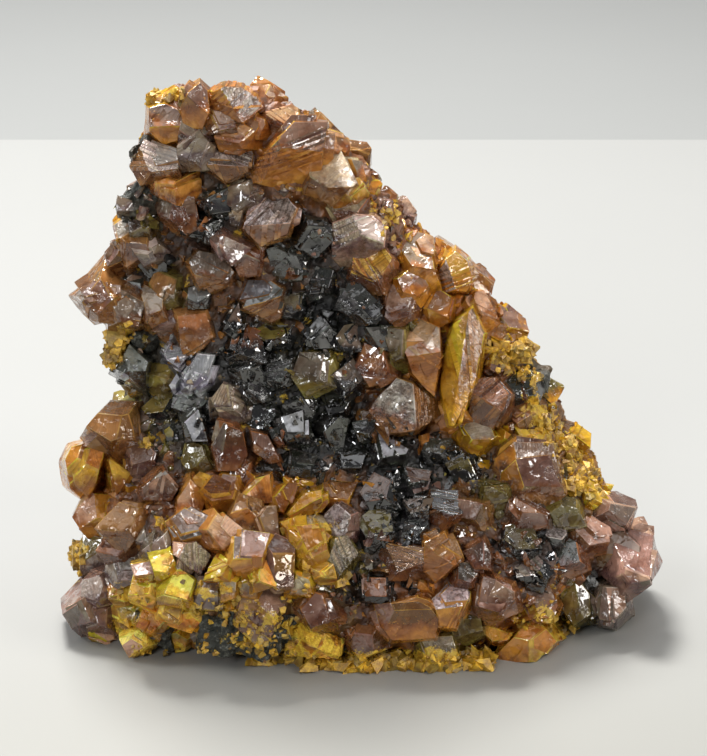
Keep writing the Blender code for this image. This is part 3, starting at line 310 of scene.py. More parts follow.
UPPER_RIGHT = (
    (9.2, 64.8, 4.8, 9.6, 4, 85, 34, 1, "OP"), (2.8, 63.2, 9, 6.4, -32, 60, 22, 0, "Ro"),
    (8.2, 60.4, 6.2, 4.8, -30, 70, 26, 1, "OM"), (6.6, 57.4, 6, 4.8, 10, 100, 28, 1, "RM"),
    (12.8, 57.6, 5.2, 5, 0, 80, 30, 1, "OR"), (6.2, 50.6, 2.8, 8, 14, 180, 24, 1, "VT"),
    (19.2, 57, 3.8, 7, 22, 20, 36, 1, "AP"), (23.2, 54.8, 6.2, 5, -8, 85, 34, 1, "YM"),
    (22.4, 48.6, 5.2, 5, 15, 90, 28, 1, "RM"), (26.4, 44.4, 5.8, 6.2, -8, 100, 20, 1, "GG"),
    (29.6, 43.4, 3.4, 6, -18, 30, 30, 0, "YV"), (15, 40.4, 5.4, 7, 0, 200, 26, 1, "AA"),
    (18.5, 37.2, 5.6, 5.4, 10, 90, 26, 1, "YE"), (27.2, 39.6, 6.2, 4.8, 0, 290, 24, 1, "RB"),
    (27.8, 36.8, 6, 3.6, 0, 90, 36, 1, "YO"), (37.4, 26.8, 6.2, 3.8, -34, 60, 34, 1, "YY"),
    (41.2, 24.2, 6.2, 3.6, -24, 70, 30, 1, "MT"),
)
LEDGE = (
    (-42.2, 24.4, 5.6, 6.6, 0, 140, 24, 1, "OP"), (-37, 22.6, 8.4, 6, 8, 100, 26, 2, "BB"),
    (-42.4, 18.4, 5.6, 5.8, 0, 110, 22, 2, "TV"), (-38.4, 19, 6, 4.6, -8, 80, 30, 3, "RR"),
    (-21.4, 27.4, 6, 5.2, -5, 92, 34, 2, "OR"), (-4, 27.2, 4.6, 4.6, -10, 30, 30, 1, "OB"),
    (-2.7, 23.2, 5.4, 5.2, 0, 170, 26, 2, "MW"), (-27.4, 22.5, 6.8, 4.6, -5, 95, 26, 3, "AT"),
    (-22.6, 21.6, 4.6, 7.4, 32, 30, 24, 3, "AP"), (-18.2, 24.2, 5.8, 6, 0, 290, 20, 2, "BA"),
    (-15, 23, 4.2, 5.6, 10, 30, 24, 2, "BP"), (-17.9, 18.4, 6.2, 6.6, 0, 90, 18, 3, "OM"),
    (-13, 17, 4.8, 8.2, 0, 350, 22, 3, "MB"), (-8.4, 18.8, 6.6, 6.4, 20, 110, 20, 3, "YO"),
    (-8, 22.4, 5.6, 3.6, 10, 90, 34, 2, "YE"), (-3.9, 17.4, 5.2, 7.6, -30, 330, 20, 2, "Ve"),
    (-24.6, 12.2, 4.6, 5.2, 10, 260, 22, 2, "TT"), (-37.4, 15.2, 6.4, 4, 5, 90, 40, 3, "TW"),
    (-41.4, 12.6, 4.8, 5.2, 20, 100, 20, 2, "ML"), (-43, 8.6, 5.4, 7.4, -6, 200, 20, 2, "MT"),
    (-33.6, 12.8, 6, 5, 20, 100, 26, 4, "ZY"), (-29.4, 12.8, 5.8, 5.6, -20, 60, 26, 4, "YZ"),
    (-27.6, 8.8, 5.2, 5, 30, 280, 24, 3, "YZ"), (-32.4, 15.8, 6.6, 3.4, 10, 85, 40, 3, "AP"),
    (-6.2, 9.2, 7.2, 6.2, -10, 100, 18, 1, "RM"), (-7.2, 4.9, 9, 3.6, -28, 70, 30, 1, "ZZ"),
)
LOWER_RIGHT = (
    (33, 24.6, 7, 5, 0, 275, 20, 1, "VV"), (26.6, 24, 6.8, 4.4, -8, 280, 20, 1, "RM"),
    (25.2, 20, 6.2, 6, 20, 100, 24, 0, "KV"), (36.2, 20.6, 6.2, 5.8, 0, 95, 24, 1, "RM"),
    (43.6, 14.2, 5.8, 4.4, 20, 280, 28, 1, "MT"), (33.6, 17.2, 6.2, 5.2, -10, 120, 20, 0, "RG"),
    (27.6, 15.4, 6, 4.4, -28, 90, 36, 0, "Kl"), (21.6, 11, 6.2, 6.6, 0, 80, 20, 2, "RM"),
    (17.4, 14.6, 4.4, 4.4, 0, 60, 30, 1, "RT"), (9, 25, 5, 3.8, -10, 100, 30, 1, "GT"),
    (9.2, 21.6, 4.8, 4.4, 0, 90, 26, 0, "KS"), (13.2, 25.4, 5.6, 6, 20, 60, 32, 1, "Rs"),
    (18.2, 24.4, 4.4, 5, 0, 170, 20, 1, "BM"), (21.8, 27.2, 5.2, 4.6, 0, 260, 22, 0, "VV"),
    (2.8, 21.8, 6, 6.8, 0, 90, 20, 0, "KV"), (6.8, 16.8, 8.6, 5.4, 0, 100, 26, 0, "Rb"),
    (3.2, 12.4, 5.6, 4.4, -10, 90, 30, 1, "KR"), (12.2, 3.6, 6.6, 5.4, 20, 100, 26, 2, "VE"),
    (17.4, 3.8, 5.6, 4.6, 0, 95, 26, 2, "BM"), (1.2, 4.6, 6, 5.2, 0, 200, 22, 1, "RM"),
)
SMALL = SUMMIT + LEFT_EDGE + CENTRE + UPPER_RIGHT + LEDGE + LOWER_RIGHT

# Finer ones that stand between them, in rows of the same kind.
FINER = (
    (-30.3, 91, 4.6, 3, 15, 90, 40, -1, "YY"), (-22.3, 86.8, 4.4, 3.2, 5, 95, 35, 2, "BM"),
    (-16.4, 86.3, 4, 4, 0, 150, 30, 0, "AP"), (-4.2, 83.4, 3.8, 4.6, -10, 50, 40, 0, "AP"),
    (-1.6, 79.6, 3.2, 4.4, 0, 30, 35, 0, "AE"), (-19.6, 71.6, 2.8, 4.6, 0, 180, 24, 0, "TE"),
    (-37, 70.2, 4.4, 3.8, 30, 100, 36, 0, "YL"), (-38.6, 66, 4, 3.6, 40, 130, 38, 1, "BM"),
    (-31, 56.2, 4.4, 4.2, 0, 95, 36, 2, "MM"), (-25.6, 59.4, 3.4, 4, 0, 60, 36, 1, "GS"),
    (-41.8, 36.6, 3.8, 3.6, 0, 120, 40, 1, "BM"), (-27.2, 42, 5.2, 3.4, -10, 80, 36, 1, "GS"),
    (-19.8, 55.6, 3.2, 5, -30, 190, 24, 0, "KT"), (1, 38, 3.6, 3.8, 20, 80, 28, 1, "GS"),
    (-10.6, 57.8, 4, 4.2, 0, 110, 30, 0, "KE"), (-10.8, 64.2, 4.6, 3.6, -10, 95, 30, 0, "RE"),
    (-13.6, 31.6, 4.6, 3.8, 0, 90, 30, 0, "KG"), (-25, 29.2, 3.8, 3.8, -30, 60, 36, 2, "AO"),
    (-12.8, 26.8, 3.6, 4.8, -20, 30, 30, 1, "OR"), (-9.5, 13.9, 4, 4, 0, 260, 24, 2, "YE"),
    (-20.6, 13.2, 3.6, 4.4, 10, 250, 20, 2, "YE"), (-17.4, 13.4, 4.2, 4.4, 0, 270, 20, 1, "YE"),
    (-28.2, 5.2, 3.6, 4, 10, 250, 20, 2, "YV"), (-40.8, 4.8, 4.2, 4.2, 0, 230, 26, 1, "PY"),
    (30.6, 21, 4.4, 3.4, -25, 85, 40, 0, "GW"), (45.4, 17.6, 3.6, 5, 0, 20, 34, 0, "MO"),
    (6.6, 2.4, 4.4, 3.8, 20, 90, 26, 1, "VE"), (-36.6, 9.4, 5.4, 5.6, 20, 100, 30, 6, "ZY"),
    (-33, 7.4, 4.8, 4.6, -20, 80, 34, 6, "YZ"), (-37.8, 12.4, 4.4, 3.6, 10, 110, 40, 6, "ZA"),
    (-30, 9.8, 4, 4.4, 0, 60, 36, 5, "ZO"), (-35.2, 4.6, 4, 3.6, 30, 250, 24, 5, "ZP"),
    (-31.4, 16.4, 3.4, 3.8, 30, 90, 30, 5, "YZ"), (-22, 15.6, 3.8, 3.4, -10, 100, 36, 4, "OY"),
    (-15.6, 14.8, 3.4, 4.2, 10, 80, 32, 4, "YZ"), (-7, 20.2, 3.6, 4, -20, 70, 36, 4, "YO"),
    (-5.8, 15.8, 3.6, 3.8, 20, 80, 36, 3, "ZY"), (-10.4, 21.8, 3.2, 4.4, 10, 60, 40, 4, "OY"),
    (-32.6, 80.6, 7.2, 5.4, 0, 100, 34, 5, "Bl"), (-34.6, 75.4, 4.6, 4.2, 20, 130, 30, 4, "MT"),
    (-30.8, 77.2, 5.4, 3.6, -10, 260, 26, 4, "AO"), (-34.6, 71, 4.2, 5.2, 0, 110, 26, 4, "VT"),
    (-33.8, 66.8, 3.8, 4.4, 20, 70, 34, 4, "TL"), (-37.2, 62.2, 6.2, 4.8, -25, 110, 28, 4, "Ml"),
    (-41, 58.2, 6.4, 5.4, -10, 120, 26, 4, "BM"), (-33, 57.6, 4.4, 5.8, 10, 100, 30, 4, "BT"),
)

# Rounded lumps of massive orpiment along the crust's edges: across, up, width, height, set out.
NODULES = (
    (-32.4, 90.6, 3.4, 2.8, -1), (3.8, 73, 4.2, 3.6, -1), (5.2, 69.6, 3.6, 4.4, -1),
    (-38.9, 52.4, 3.6, 4.4, 0), (-39.6, 49.8, 3.2, 3, 0), (-44.8, 18, 3.2, 5, 0),
    (26.2, 50.8, 3.6, 3.8, 0), (26.8, 48, 3.6, 4, 0), (22.6, 51.6, 4.2, 3.2, 0),
    (29.6, 40.2, 3.4, 3.4, 0), (33.2, 34.6, 3.6, 5.2, 0), (36.2, 31, 4.8, 3.8, 0),
    (33.6, 29.2, 4.6, 3.2, 0), (31.8, 5.6, 4.4, 4.4, 1), (0.6, 0.9, 5.6, 2.8, 1), (6.4, 0.4, 6, 2.8, 1),
    (12, 0.2, 6.4, 3, 1), (18, 0.8, 6.4, 3, 1), (-14.4, 2.4, 5.6, 3.2, 0), (-19.6, 3.6, 5.6, 3, 0),
    (-25.6, 3.6, 5.6, 3.4, 1), (-31.4, 3.2, 5.6, 3.4, 1), (-7.4, 0.9, 5, 2.4, 0),
    (-3.6, 14.4, 3.4, 2.4, 1),
)


# Where yellow dust and grains lie, each from one place on the sighting plane to another: its ends,
# how far the dust spreads and how much of it there is, how far the grains spread and how many.
BANDS = (
    (-1, 0.9, 21, 1.4, 2.4, 1, 0.7, 150), (-20, 4.2, -8, 1.3, 2.4, 0.8, 0.8, 70),
    (-37, 2.6, -24, 2.2, 2.6, 0.8, 0.8, 50), (-38, 7, -29, 12, 4, 0.62, 0, 0),
    (-27, 9, -11, 7, 3, 0.66, 0, 0), (-28, 9, -11, 7, 0, 0, 2, 50), (-38, 13, -31, 15, 2, 0.5, 0, 0),
    (-38, 10.5, -31, 13.5, 0, 0, 1.8, 16), (-25, 11.5, -15, 14.5, 2.6, 0.66, 0, 0),
    (-25, 11.5, -17, 14.5, 0, 0, 1.6, 20), (-10.5, 16, -5, 22, 2.6, 0.62, 2, 16),
    (-11, 7, -3.2, 2.2, 1.5, 1, 0, 0), (21, 51, 28, 46.5, 2.4, 0.8, 1, 60),
    (28, 42, 38, 28, 2.8, 0.8, 1.3, 130), (29, 9, 34, 5, 2, 0.75, 1, 30),
    (25, 8, 27, 6.4, 1, 0.5, 0.5, 12), (-40.5, 48.5, -37.5, 54, 1.8, 0.8, 0.9, 36),
    (-46, 14, -45, 20, 1.6, 0.8, 0.8, 36), (-33, 90.5, -30, 92, 1.6, 0.6, 0, 0),
    (-33, 90.5, -28, 92, 0, 0, 0.6, 20), (-34.5, 36, -32.5, 37, 1.2, 0.8, 0.6, 12),
    (-32.5, 23, -30.5, 24.4, 1, 0.8, 0.5, 10), (14, 42, 16, 54, 1.6, 0.42, 0, 0),
    (3, 69, 5, 74, 1.2, 0.5, 0.9, 24),
)


class Wires:
    """Adds nodes to one node tree and links them."""

    def __init__(self, tree: NodeTree) -> None:
        """Starts on a material's, world's or group's node tree."""
        self.tree = tree

    def add(self, kind: str, values: dict[Any, Any] | None = None, **settings: Any) -> Node:
        """Adds a node.

        Args:
            kind: The node's type name.
            values: What each input gets: a socket to link, or a plain value.
            **settings: The node's own settings.

        Returns:
            The node.
        """
        node = self.tree.nodes.new(kind)
        for name, setting in settings.items():
            setattr(node, name, setting)
        self.put_all(node.inputs, values or {})
        return node

    def put_all(self, sockets: Any, values: dict[Any, Any]) -> None:
        """Links each value to its socket if it is a socket itself, and sets it otherwise.

        Args:
            sockets: The sockets.
            values: The values, by the sockets' names or numbers.
        """
        for key, value in values.items():
            if isinstance(value, NodeSocket):
                self.tree.links.new(value, sockets[key])
            else:
                sockets[key].default_value = value

    def math(self, operation: str, a: Any, b: Any, clamp: bool = False) -> NodeSocket:
        """The result of this operation on two numbers or sockets."""
        return self.add("ShaderNodeMath", {0: a, 1: b}, operation=operation, use_clamp=clamp).outputs[0]

    def plus(self, a: Any, b: Any) -> NodeSocket:
        """The sum of two numbers or sockets."""
        return self.math("ADD", a, b)

    def times(self, a: Any, b: Any) -> NodeSocket:
        """The product of two numbers or sockets."""
        return self.math("MULTIPLY", a, b)

    def vector(self, operation: str, a: Any, b: Any = None) -> NodeSocket:
        """The result of this operation on one or two vectors or sockets."""
        values = {0: a} if b is None else {0: a, 1: b}
        node = self.add("ShaderNodeVectorMath", values, operation=operation)
        return node.outputs["Value" if operation in ("LENGTH", "DOT_PRODUCT") else "Vector"]

    def mix(self, factor: Any, a: Any, b: Any, blend: str = "MIX") -> NodeSocket:
        """The second colour laid over the first by this factor; a plain one is red, green and blue."""
        factor_socket, first, second = 0, 6, 7
        a, b = ((*colour, 1.0) if isinstance(colour, tuple) else colour for colour in (a, b))
        values = {factor_socket: factor, first: a, second: b}
        return self.add("ShaderNodeMix", values, data_type="RGBA", blend_type=blend).outputs[2]

    def shaded(self, a: Any, b: Any, factor: float = 1.0) -> NodeSocket:
        """The first colour multiplied by the second."""
        return self.mix(factor, a, b, "MULTIPLY")

    def step(self, value: Any, low: float, high: float) -> NodeSocket:
        """A soft step of the value from 0 at low to 1 at high."""
        values = {"Value": value, "From Min": low, "From Max": high}
        return self.add("ShaderNodeMapRange", values, interpolation_type="SMOOTHSTEP").outputs[0]

    def noise(self, place: Any, scale: float, detail: float = 2.0, rough: float = 0.5) -> NodeSocket:
        """Noise of this scale at the place, from 0 to 1."""
        values = {"Vector": place, "Scale": scale, "Detail": detail, "Roughness": rough}
        return self.add("ShaderNodeTexNoise", values).outputs["Fac"]

    def bands(self, place: Any, scale: float) -> NodeSocket:
        """Noise of one dimension, as bands along a number, from 0 to 1."""
        values = {"W": place, "Scale": scale, "Detail": 3.0, "Roughness": 0.7}
        return self.add("ShaderNodeTexNoise", values, noise_dimensions="1D").outputs["Fac"]

    def cells(self, place: Any, scale: float) -> Any:
        """The outputs of a cell texture of this scale at the place."""
        return self.add("ShaderNodeTexVoronoi", {"Vector": place, "Scale": scale}).outputs

    def attribute(self, name: str, output: str = "Vector") -> NodeSocket:
        """One output of a mesh attribute: its Color, Alpha, Vector or Fac."""
        return self.add("ShaderNodeAttribute", attribute_name=name).outputs[output]

    def group(self, effect: "Effect", values: dict[str, Any]) -> Any:
        """The outputs of an effect that gets these values."""
        node = self.add("ShaderNodeGroup", node_tree=effect.tree)
        self.put_all(node.inputs, values)
        return node.outputs


class Coat(Wires):
    """A material and the nodes in front of its shader."""

    def __init__(self, name: str) -> None:
        """Starts a material of this name."""
        self.material = bpy.data.materials.new(name)
        self.material.use_nodes = True
        super().__init__(self.material.node_tree)

    def finish(self, relief: float = 0.0, height: NodeSocket | None = None, **values: Any) -> Material:
        """Gives the shader its values.

        Args:
            relief: How deep the fine relief is, in millimetres.
            height: The height that the fine relief follows.
            **values: The shader's inputs by their names, with _ for a space.

        Returns:
            The material.
        """
        if height:
            bump = self.add("ShaderNodeBump", {"Distance": relief * MM, "Height": height})
            values["Normal"] = bump.outputs[0]
        named = {key.replace("_", " "): value for key, value in values.items()}
        self.put_all(self.tree.nodes["Principled BSDF"].inputs, named)
        return self.material


class Effect(Wires):
    """A shader node group: an effect that more than one material uses."""

    def __init__(self, name: str, inputs: dict[str, Any], outputs: dict[str, str]) -> None:
        """Starts the group.

        Args:
            name: The group's name.
            inputs: Each input's name with its starting value; a colour has four numbers, a vector three.
            outputs: Each output's name with its kind, Color or Float.
        """
        tree = bpy.data.node_groups.new(name, "ShaderNodeTree")
        for key, value in inputs.items():
            kind = {4: "Color", 3: "Vector"}[len(value)] if isinstance(value, tuple) else "Float"
            socket = tree.interface.new_socket(name=key, in_out="INPUT", socket_type="NodeSocket" + kind)
            socket.default_value = value
        for key, kind in outputs.items():
            tree.interface.new_socket(name=key, in_out="OUTPUT", socket_type="NodeSocket" + kind)
        super().__init__(tree)
        self.given = self.add("NodeGroupInput").outputs
        self.result = self.add("NodeGroupOutput").inputs


class CrystalGrowthAndPaintedLight(Effect):
    """The painted light on a crystal's faces, lit above and glowing at the foot, with the effect of its
    growth: clouds, lines, frost and stepped tiles.
    """

    amber = (0.5, 0.2, 0.05, 1.0)
    deep = (0.1, 0.02, 0.0, 1.0)
    # core, thin and glint are painted light: core darkens the middle below the lit top, thin brightens the
    # foot as a painted glow, and glint brightens the painted glints.
    core = (0.44, 0.36, 0.50)
    thin = (1.4, 1.75, 1.5)
    glint = (1.2, 1.2, 1.2)
    line = (0.3, 0.27, 0.24)
    pitted = (0.28, 0.22, 0.18)
    pale = (1.15, 1.12, 1.1)
    # Each size of tile: its scale, how far it leans, and where its pattern starts.
    tiles = ((0.42, 8.0, 0.0), (1.1, 6.0, 37.0))

    def __init__(self) -> None:
        """Makes the group, which puts out a colour, a roughness and a height."""
        nowhere = (0.0, 0.0, 0.0)
        super().__init__(
            "crystal_growth_and_painted_light",
            {"Tint": self.amber, "Frost": 0.0, "Body": self.amber, "Low": 0.0, "Lines": nowhere,
             "Place": nowhere, "Deep": self.deep, "Clouds": 0.6, "Etching": 0.5, "Gloss": 0.08},
            {"Color": "Color", "Roughness": "Float", "Height": "Float"},
        )
        given, place = self.given, self.given["Place"]
        colour = self.glow()
        strength = self.vector("LENGTH", given["Lines"])
        across = self.vector("DOT_PRODUCT", place, self.vector("NORMALIZE", given["Lines"]))
        lines = self.bands(self.plus(across, self.times(self.noise(place, 0.5), 0.5)), 3.0)
        banded = self.mix(self.step(lines, 0.38, 0.6), self.line, self.pale)
        colour = self.mix(self.times(strength, 0.75), colour, self.shaded(colour, banded))
        # On frosted faces the mottle is in part the pitted texture of an etched skin and in part painted
        # glints, its paler spots standing in for the silver light that such a skin throws back.
        mottle = self.step(self.noise(place, 1.1, 4.0, 0.75), 0.40, 0.56)
        frosted = self.step(given["Frost"], 0.35, 0.6)
        silver = self.shaded(colour, self.mix(mottle, self.pitted, self.pale))
        colour = self.mix(frosted, colour, silver)
        etched = self.times(self.step(self.noise(place, 0.42, 3.0, 0.65), 0.55, 0.63), given["Etching"])
        grain = self.times(self.times(self.noise(place, 2.6, 3.0, 0.7), 1.5), etched)
        height = self.times(self.times(lines, self.plus(strength, 0.12)), 2.0)
        height = self.plus(height, self.times(grain, 3.5))
        height = self.plus(height, self.noise(place, 0.8, 2.0, 0.6))
        height = self.plus(height, self.times(self.times(mottle, frosted), 3.5))
        for tile in self.tiles:
            colour, height = self.tiled(colour, height, *tile)
        rough = self.plus(given["Gloss"], self.times(given["Frost"], 0.16))
        rough = self.plus(rough, self.times(etched, 0.14))
        self.put_all(self.result, {"Color": colour, "Roughness": rough, "Height": height})

    def glow(self) -> NodeSocket:
        """The colour, from the lit faces down to the foot where light shines through.

        Returns:
            The colour, as a socket.
        """
        place, body = self.given["Place"], self.given["Body"]
        # The colour from top to foot is painted light: the lit top faces in their tint, a darker core below,
        # the body, and a painted glow where light shines through at the foot.
        cloud = self.step(self.noise(place, 0.33, 3.0, 0.6), 0.42, 0.68)
        drift = self.times(self.noise(place, 0.28, 3.0, 0.6), 0.9)
        low = self.math("SUBTRACT", self.plus(self.given["Low"], drift), 0.45)
        colour = self.mix(self.step(low, 0.28, 0.5), self.given["Tint"], self.shaded(body, self.core))
        colour = self.mix(self.step(low, 0.46, 0.74), colour, body)
        thin = self.shaded(body, self.thin, 0.9)
        colour = self.mix(self.step(low, 0.74, 0.96), colour, thin)
        colour = self.shaded(colour, self.given["Deep"], self.times(cloud, self.given["Clouds"]))
        # These are painted glints: small spots painted in a bright glow colour.
        painted_glint = self.step(self.noise(place, 1.5, 3.0, 0.75), 0.60, 0.70)
        seen = self.times(painted_glint, self.step(self.noise(place, 0.3, 2.0), 0.45, 0.6))
        return self.mix(self.times(seen, 0.6), colour, self.shaded(thin, self.glint, 0.75))

    def tiled(
        self, colour: NodeSocket, height: NodeSocket, scale: float, much: float, start: float
    ) -> tuple[NodeSocket, NodeSocket]:
        """Breaks some stretches of the faces into small tiles that lean this way and that.

        Args:
            colour: The colour so far.
            height: The height so far.
            scale: The tiles' scale.
            much: How far they lean.
            start: Where their pattern starts.

        Returns:
            The colour and the height with the tiles.
        """
        there = self.vector("ADD", self.given["Place"], (start, start, 0.0))
        tile = self.cells(there, scale)
        off = self.vector("SUBTRACT", there, tile["Position"])
        lean = self.vector("SUBTRACT", tile["Color"], (0.5, 0.5, 0.5))
        stepped = self.step(self.noise(there, 0.24, 1.0), 0.44, 0.5)
        slope = self.times(self.vector("DOT_PRODUCT", off, lean), stepped)
        own = self.plus(self.times(self.vector("LENGTH", lean), 0.7), 0.66)
        toned = self.add("ShaderNodeCombineXYZ", {"X": own, "Y": own, "Z": own}).outputs[0]
        colour = self.mix(stepped, colour, self.shaded(colour, toned))
        return colour, self.plus(height, self.times(slope, much))


class YellowDust(Effect):
    """The effect of yellow, powdery orpiment that lies in patches on what it covers."""

    shade = (0.62, 0.32, 0.012)
    light = (0.90, 0.64, 0.05)

    def __init__(self) -> None:
        """Makes the group, which puts out a colour and the mask of the dust."""
        super().__init__(
            "yellow_dust",
            {"Color": (0.1, 0.1, 0.1, 1.0), "Place": (0.0, 0.0, 0.0), "Amount": 0.3},
            {"Color": "Color", "Dust": "Float"},
        )
        patch = self.noise(self.given["Place"], 0.30, 5.0, 0.7)
        edge = self.math("SUBTRACT", 0.78, self.times(self.given["Amount"], 0.5))
        dust = self.math("MULTIPLY", self.math("SUBTRACT", patch, edge), 14.0, clamp=True)
        grain = self.step(self.noise(self.given["Place"], 1.7, 3.0, 0.7), 0.35, 0.65)
        dusted = self.mix(dust, self.given["Color"], self.mix(grain, self.shade, self.light))
        self.put_all(self.result, {"Color": dusted, "Dust": dust})


@dataclass(frozen=True)
class CrystalFinish:
    """A crystal's finish: how much light it lets in, how deep its colour and how glossy its faces."""

    name: str
    transmission: float
    ior: float
    deep: Colour
    clouds: float
    etching: float
    gloss: float
    sheen: Colour = (1.0, 1.0, 1.0)
    depth: float = 1.0
    relief: float = 0.04

    def make(self, growth: CrystalGrowthAndPaintedLight, dust: YellowDust) -> Material:
        """Makes the material.

        Args:
            growth: The painted light and the effect of growth.
            dust: The effect of the yellow dust.

        Returns:
            The material.
        """
        coat = Coat(self.name)
        place = coat.attribute("place")
        tint = coat.add("ShaderNodeAttribute", attribute_name="tint").outputs
        grown = coat.group(growth, {
            "Tint": tint["Color"], "Frost": tint["Alpha"],
            "Body": coat.attribute("body", "Color"), "Low": coat.attribute("low", "Fac"),
            "Lines": coat.attribute("lines"), "Place": place, "Deep": (*self.deep, 1.0),
            "Clouds": self.clouds, "Etching": self.etching, "Gloss": self.gloss,
        })
        paler = coat.add("ShaderNodeGamma", {"Color": grown["Color"], "Gamma": self.depth}).outputs[0]
        amount = coat.attribute("dust", "Fac")
        dusted = coat.group(dust, {"Color": paler, "Place": place, "Amount": amount})
        rough = coat.plus(grown["Roughness"], coat.times(dusted["Dust"], 0.4))
        return coat.finish(
            self.relief, grown["Height"], Base_Color=dusted["Color"], Roughness=rough, IOR=self.ior,
            Transmission_Weight=self.transmission, Specular_Tint=(*self.sheen, 1.0),
        )


CRYSTAL_FINISHES: dict[Clarity, CrystalFinish] = {
    Clarity.CLEAR: CrystalFinish(
        "clear_crystal", 0.42, 1.75, (0.46, 0.30, 0.19), 0.8, 0.35, 0.02, sheen=(1.0, 0.9, 0.8), depth=0.8
    ),
    Clarity.CLOUDY: CrystalFinish(
        "cloudy_crystal", 0.18, 1.85, (0.45, 0.30, 0.22), 0.8, 0.7, 0.02, depth=0.85
    ),
    Clarity.DARK: CrystalFinish("dark_crystal", 0.0, 2.05, (0.45, 0.42, 0.35), 0.8, 0.6, 0.02),
    Clarity.POWDERY: CrystalFinish(
        "powdery_crystal", 0.0, 1.6, (0.85, 0.48, 0.10), 1.0, 1.0, 0.3, relief=0.08
    ),
}


@dataclass(frozen=True)
class CrustFinish:
    """The massive orpiment between the crystals: uneven, granular and dusted with yellow."""

    name: str = "massive_orpiment"
    roughness: float = 0.42
    ior: float = 1.7
    relief: float = 0.25
    dust: float = 0.35
    dark: Colour = (0.35, 0.3, 0.25)
    light: Colour = (1.25, 1.2, 1.1)

    def make(self, dust: YellowDust) -> Material:
        """Makes the material.

        Args:
            dust: The effect of the yellow dust.

        Returns:
            The material.
        """
        coat = Coat(self.name)
        place = coat.attribute("place")
        coarse = coat.noise(place, 0.5, 5.0, 0.65)
        shade = coat.mix(coat.step(coarse, 0.35, 0.7), self.dark, self.light)
        colour = coat.shaded(coat.attribute("tint", "Color"), shade)
        dusted = coat.group(dust, {"Color": colour, "Place": place, "Amount": self.dust})
        height = coat.plus(coarse, coat.times(coat.noise(place, 2.4, 4.0, 0.7), 0.5))
        rough = coat.plus(self.roughness, coat.times(dusted["Dust"], 0.35))
        return coat.finish(self.relief, height, Base_Color=dusted["Color"], Roughness=rough, IOR=self.ior)


@dataclass(frozen=True)
class RockFinish:
    """The host rock: dark and broken, with grey grains, brown stains and a little yellow dust."""

    name: str = "host_rock_dark"
    dark: Colour = (0.024, 0.027, 0.020)
    grain: Colour = (0.20, 0.205, 0.17)
    stain: Colour = (0.10, 0.055, 0.015)
    glossy: Colour = (0.28, 0.28, 0.28)
    dull: Colour = (0.7, 0.7, 0.7)
    ior: float = 1.6
    relief: float = 0.3
    dust: float = 0.3

    def make(self, dust: YellowDust) -> Material:
        """Makes the material.

        Args:
            dust: The effect of the yellow dust.

        Returns:
            The material.
        """
        coat = Coat(self.name)
        place = coat.attribute("place")
        grains = coat.cells(place, 0.9)
        speck = coat.step(coat.noise(place, 1.3, 5.0, 0.7), 0.5, 0.68)
        stained = coat.times(coat.step(coat.noise(place, 0.09, 4.0, 0.6), 0.48, 0.66), 0.7)
        colour = coat.mix(stained, coat.mix(speck, self.dark, self.grain), self.stain)
        dusted = coat.group(dust, {"Color": colour, "Place": place, "Amount": self.dust})
        height = coat.plus(coat.times(grains["Distance"], 0.8), coat.noise(place, 2.8, 5.0, 0.7))
        rough = coat.mix(grains["Color"], self.glossy, self.dull)
        return coat.finish(self.relief, height, Base_Color=dusted["Color"], Roughness=rough, IOR=self.ior)


@dataclass(frozen=True)
class RimFinish:
    """The granular yellow orpiment of the rim."""

    name: str = "yellow_orpiment"
    roughness: float = 0.4
    ior: float = 1.8
    relief: float = 0.12
    dark: Colour = (0.45, 0.35, 0.2)
    light: Colour = (1.15, 1.15, 1.1)

    def make(self) -> Material:
        """Makes the material.

        Returns:
            The material.
        """
        coat = Coat(self.name)
        place = coat.attribute("place")
        patch = coat.step(coat.noise(place, 0.7, 4.0, 0.65), 0.35, 0.7)
        colour = coat.shaded(coat.attribute("tint", "Color"), coat.mix(patch, self.dark, self.light))
        rough = coat.plus(coat.times(patch, 0.2), self.roughness)
        height = coat.noise(place, 3.0, 5.0, 0.7)
        return coat.finish(self.relief, height, Base_Color=colour, Roughness=rough, IOR=self.ior)


# How near counts as on a plane, or as the same corner, in millimetres.
CLOSE, SAME_CORNER, ON_PLANE, TINY = 1e-3, 0.01, 0.012, 1e-6


@lru_cache(maxsize=None)
def triples(count: int) -> Array:
    """All the ways to take three of this many planes."""
    return np.array(list(combinations(range(count), 3)))


@dataclass
class Solid:
    """A convex solid: its corners, and its faces with the plane that each lies on."""

    corners: Array
    faces: list[tuple[int, list[int]]]

    @staticmethod
    def inside(ways: Array, offsets: Array) -> "Solid | None":
        """The solid that the planes enclose.

        Args:
            ways: The planes' ways out, one to a row.
            offsets: The planes' distances from the middle.

        Returns:
            The solid, or None where the planes enclose nothing.
        """
        picks = triples(len(offsets))
        sets = ways[picks]
        sure = np.abs(np.linalg.det(sets)) > CLOSE
        points = np.linalg.solve(sets[sure], offsets[picks[sure]][..., None])[..., 0]
        points = points[(points @ ways.T <= offsets + CLOSE).all(axis=1)]
        if len(points) < 4:
            return None
        keys = np.round(points / SAME_CORNER).astype(int)
        corners = points[np.unique(keys, axis=0, return_index=True)[1]]
        faces = []
        for index, way in enumerate(ways):
            on = np.flatnonzero(np.abs(corners @ way - offsets[index]) < ON_PLANE)
            if len(on) < 3:
                continue
            rim = corners[on] - corners[on].mean(axis=0)
            first = rim[0] - way * (rim[0] @ way)
            if np.linalg.norm(first) < TINY:
                continue
            order = np.argsort(np.arctan2(rim @ np.cross(way, first), rim @ first))
            faces.append((index, [int(on[i]) for i in order]))
        return Solid(corners, faces) if len(faces) > 3 else None


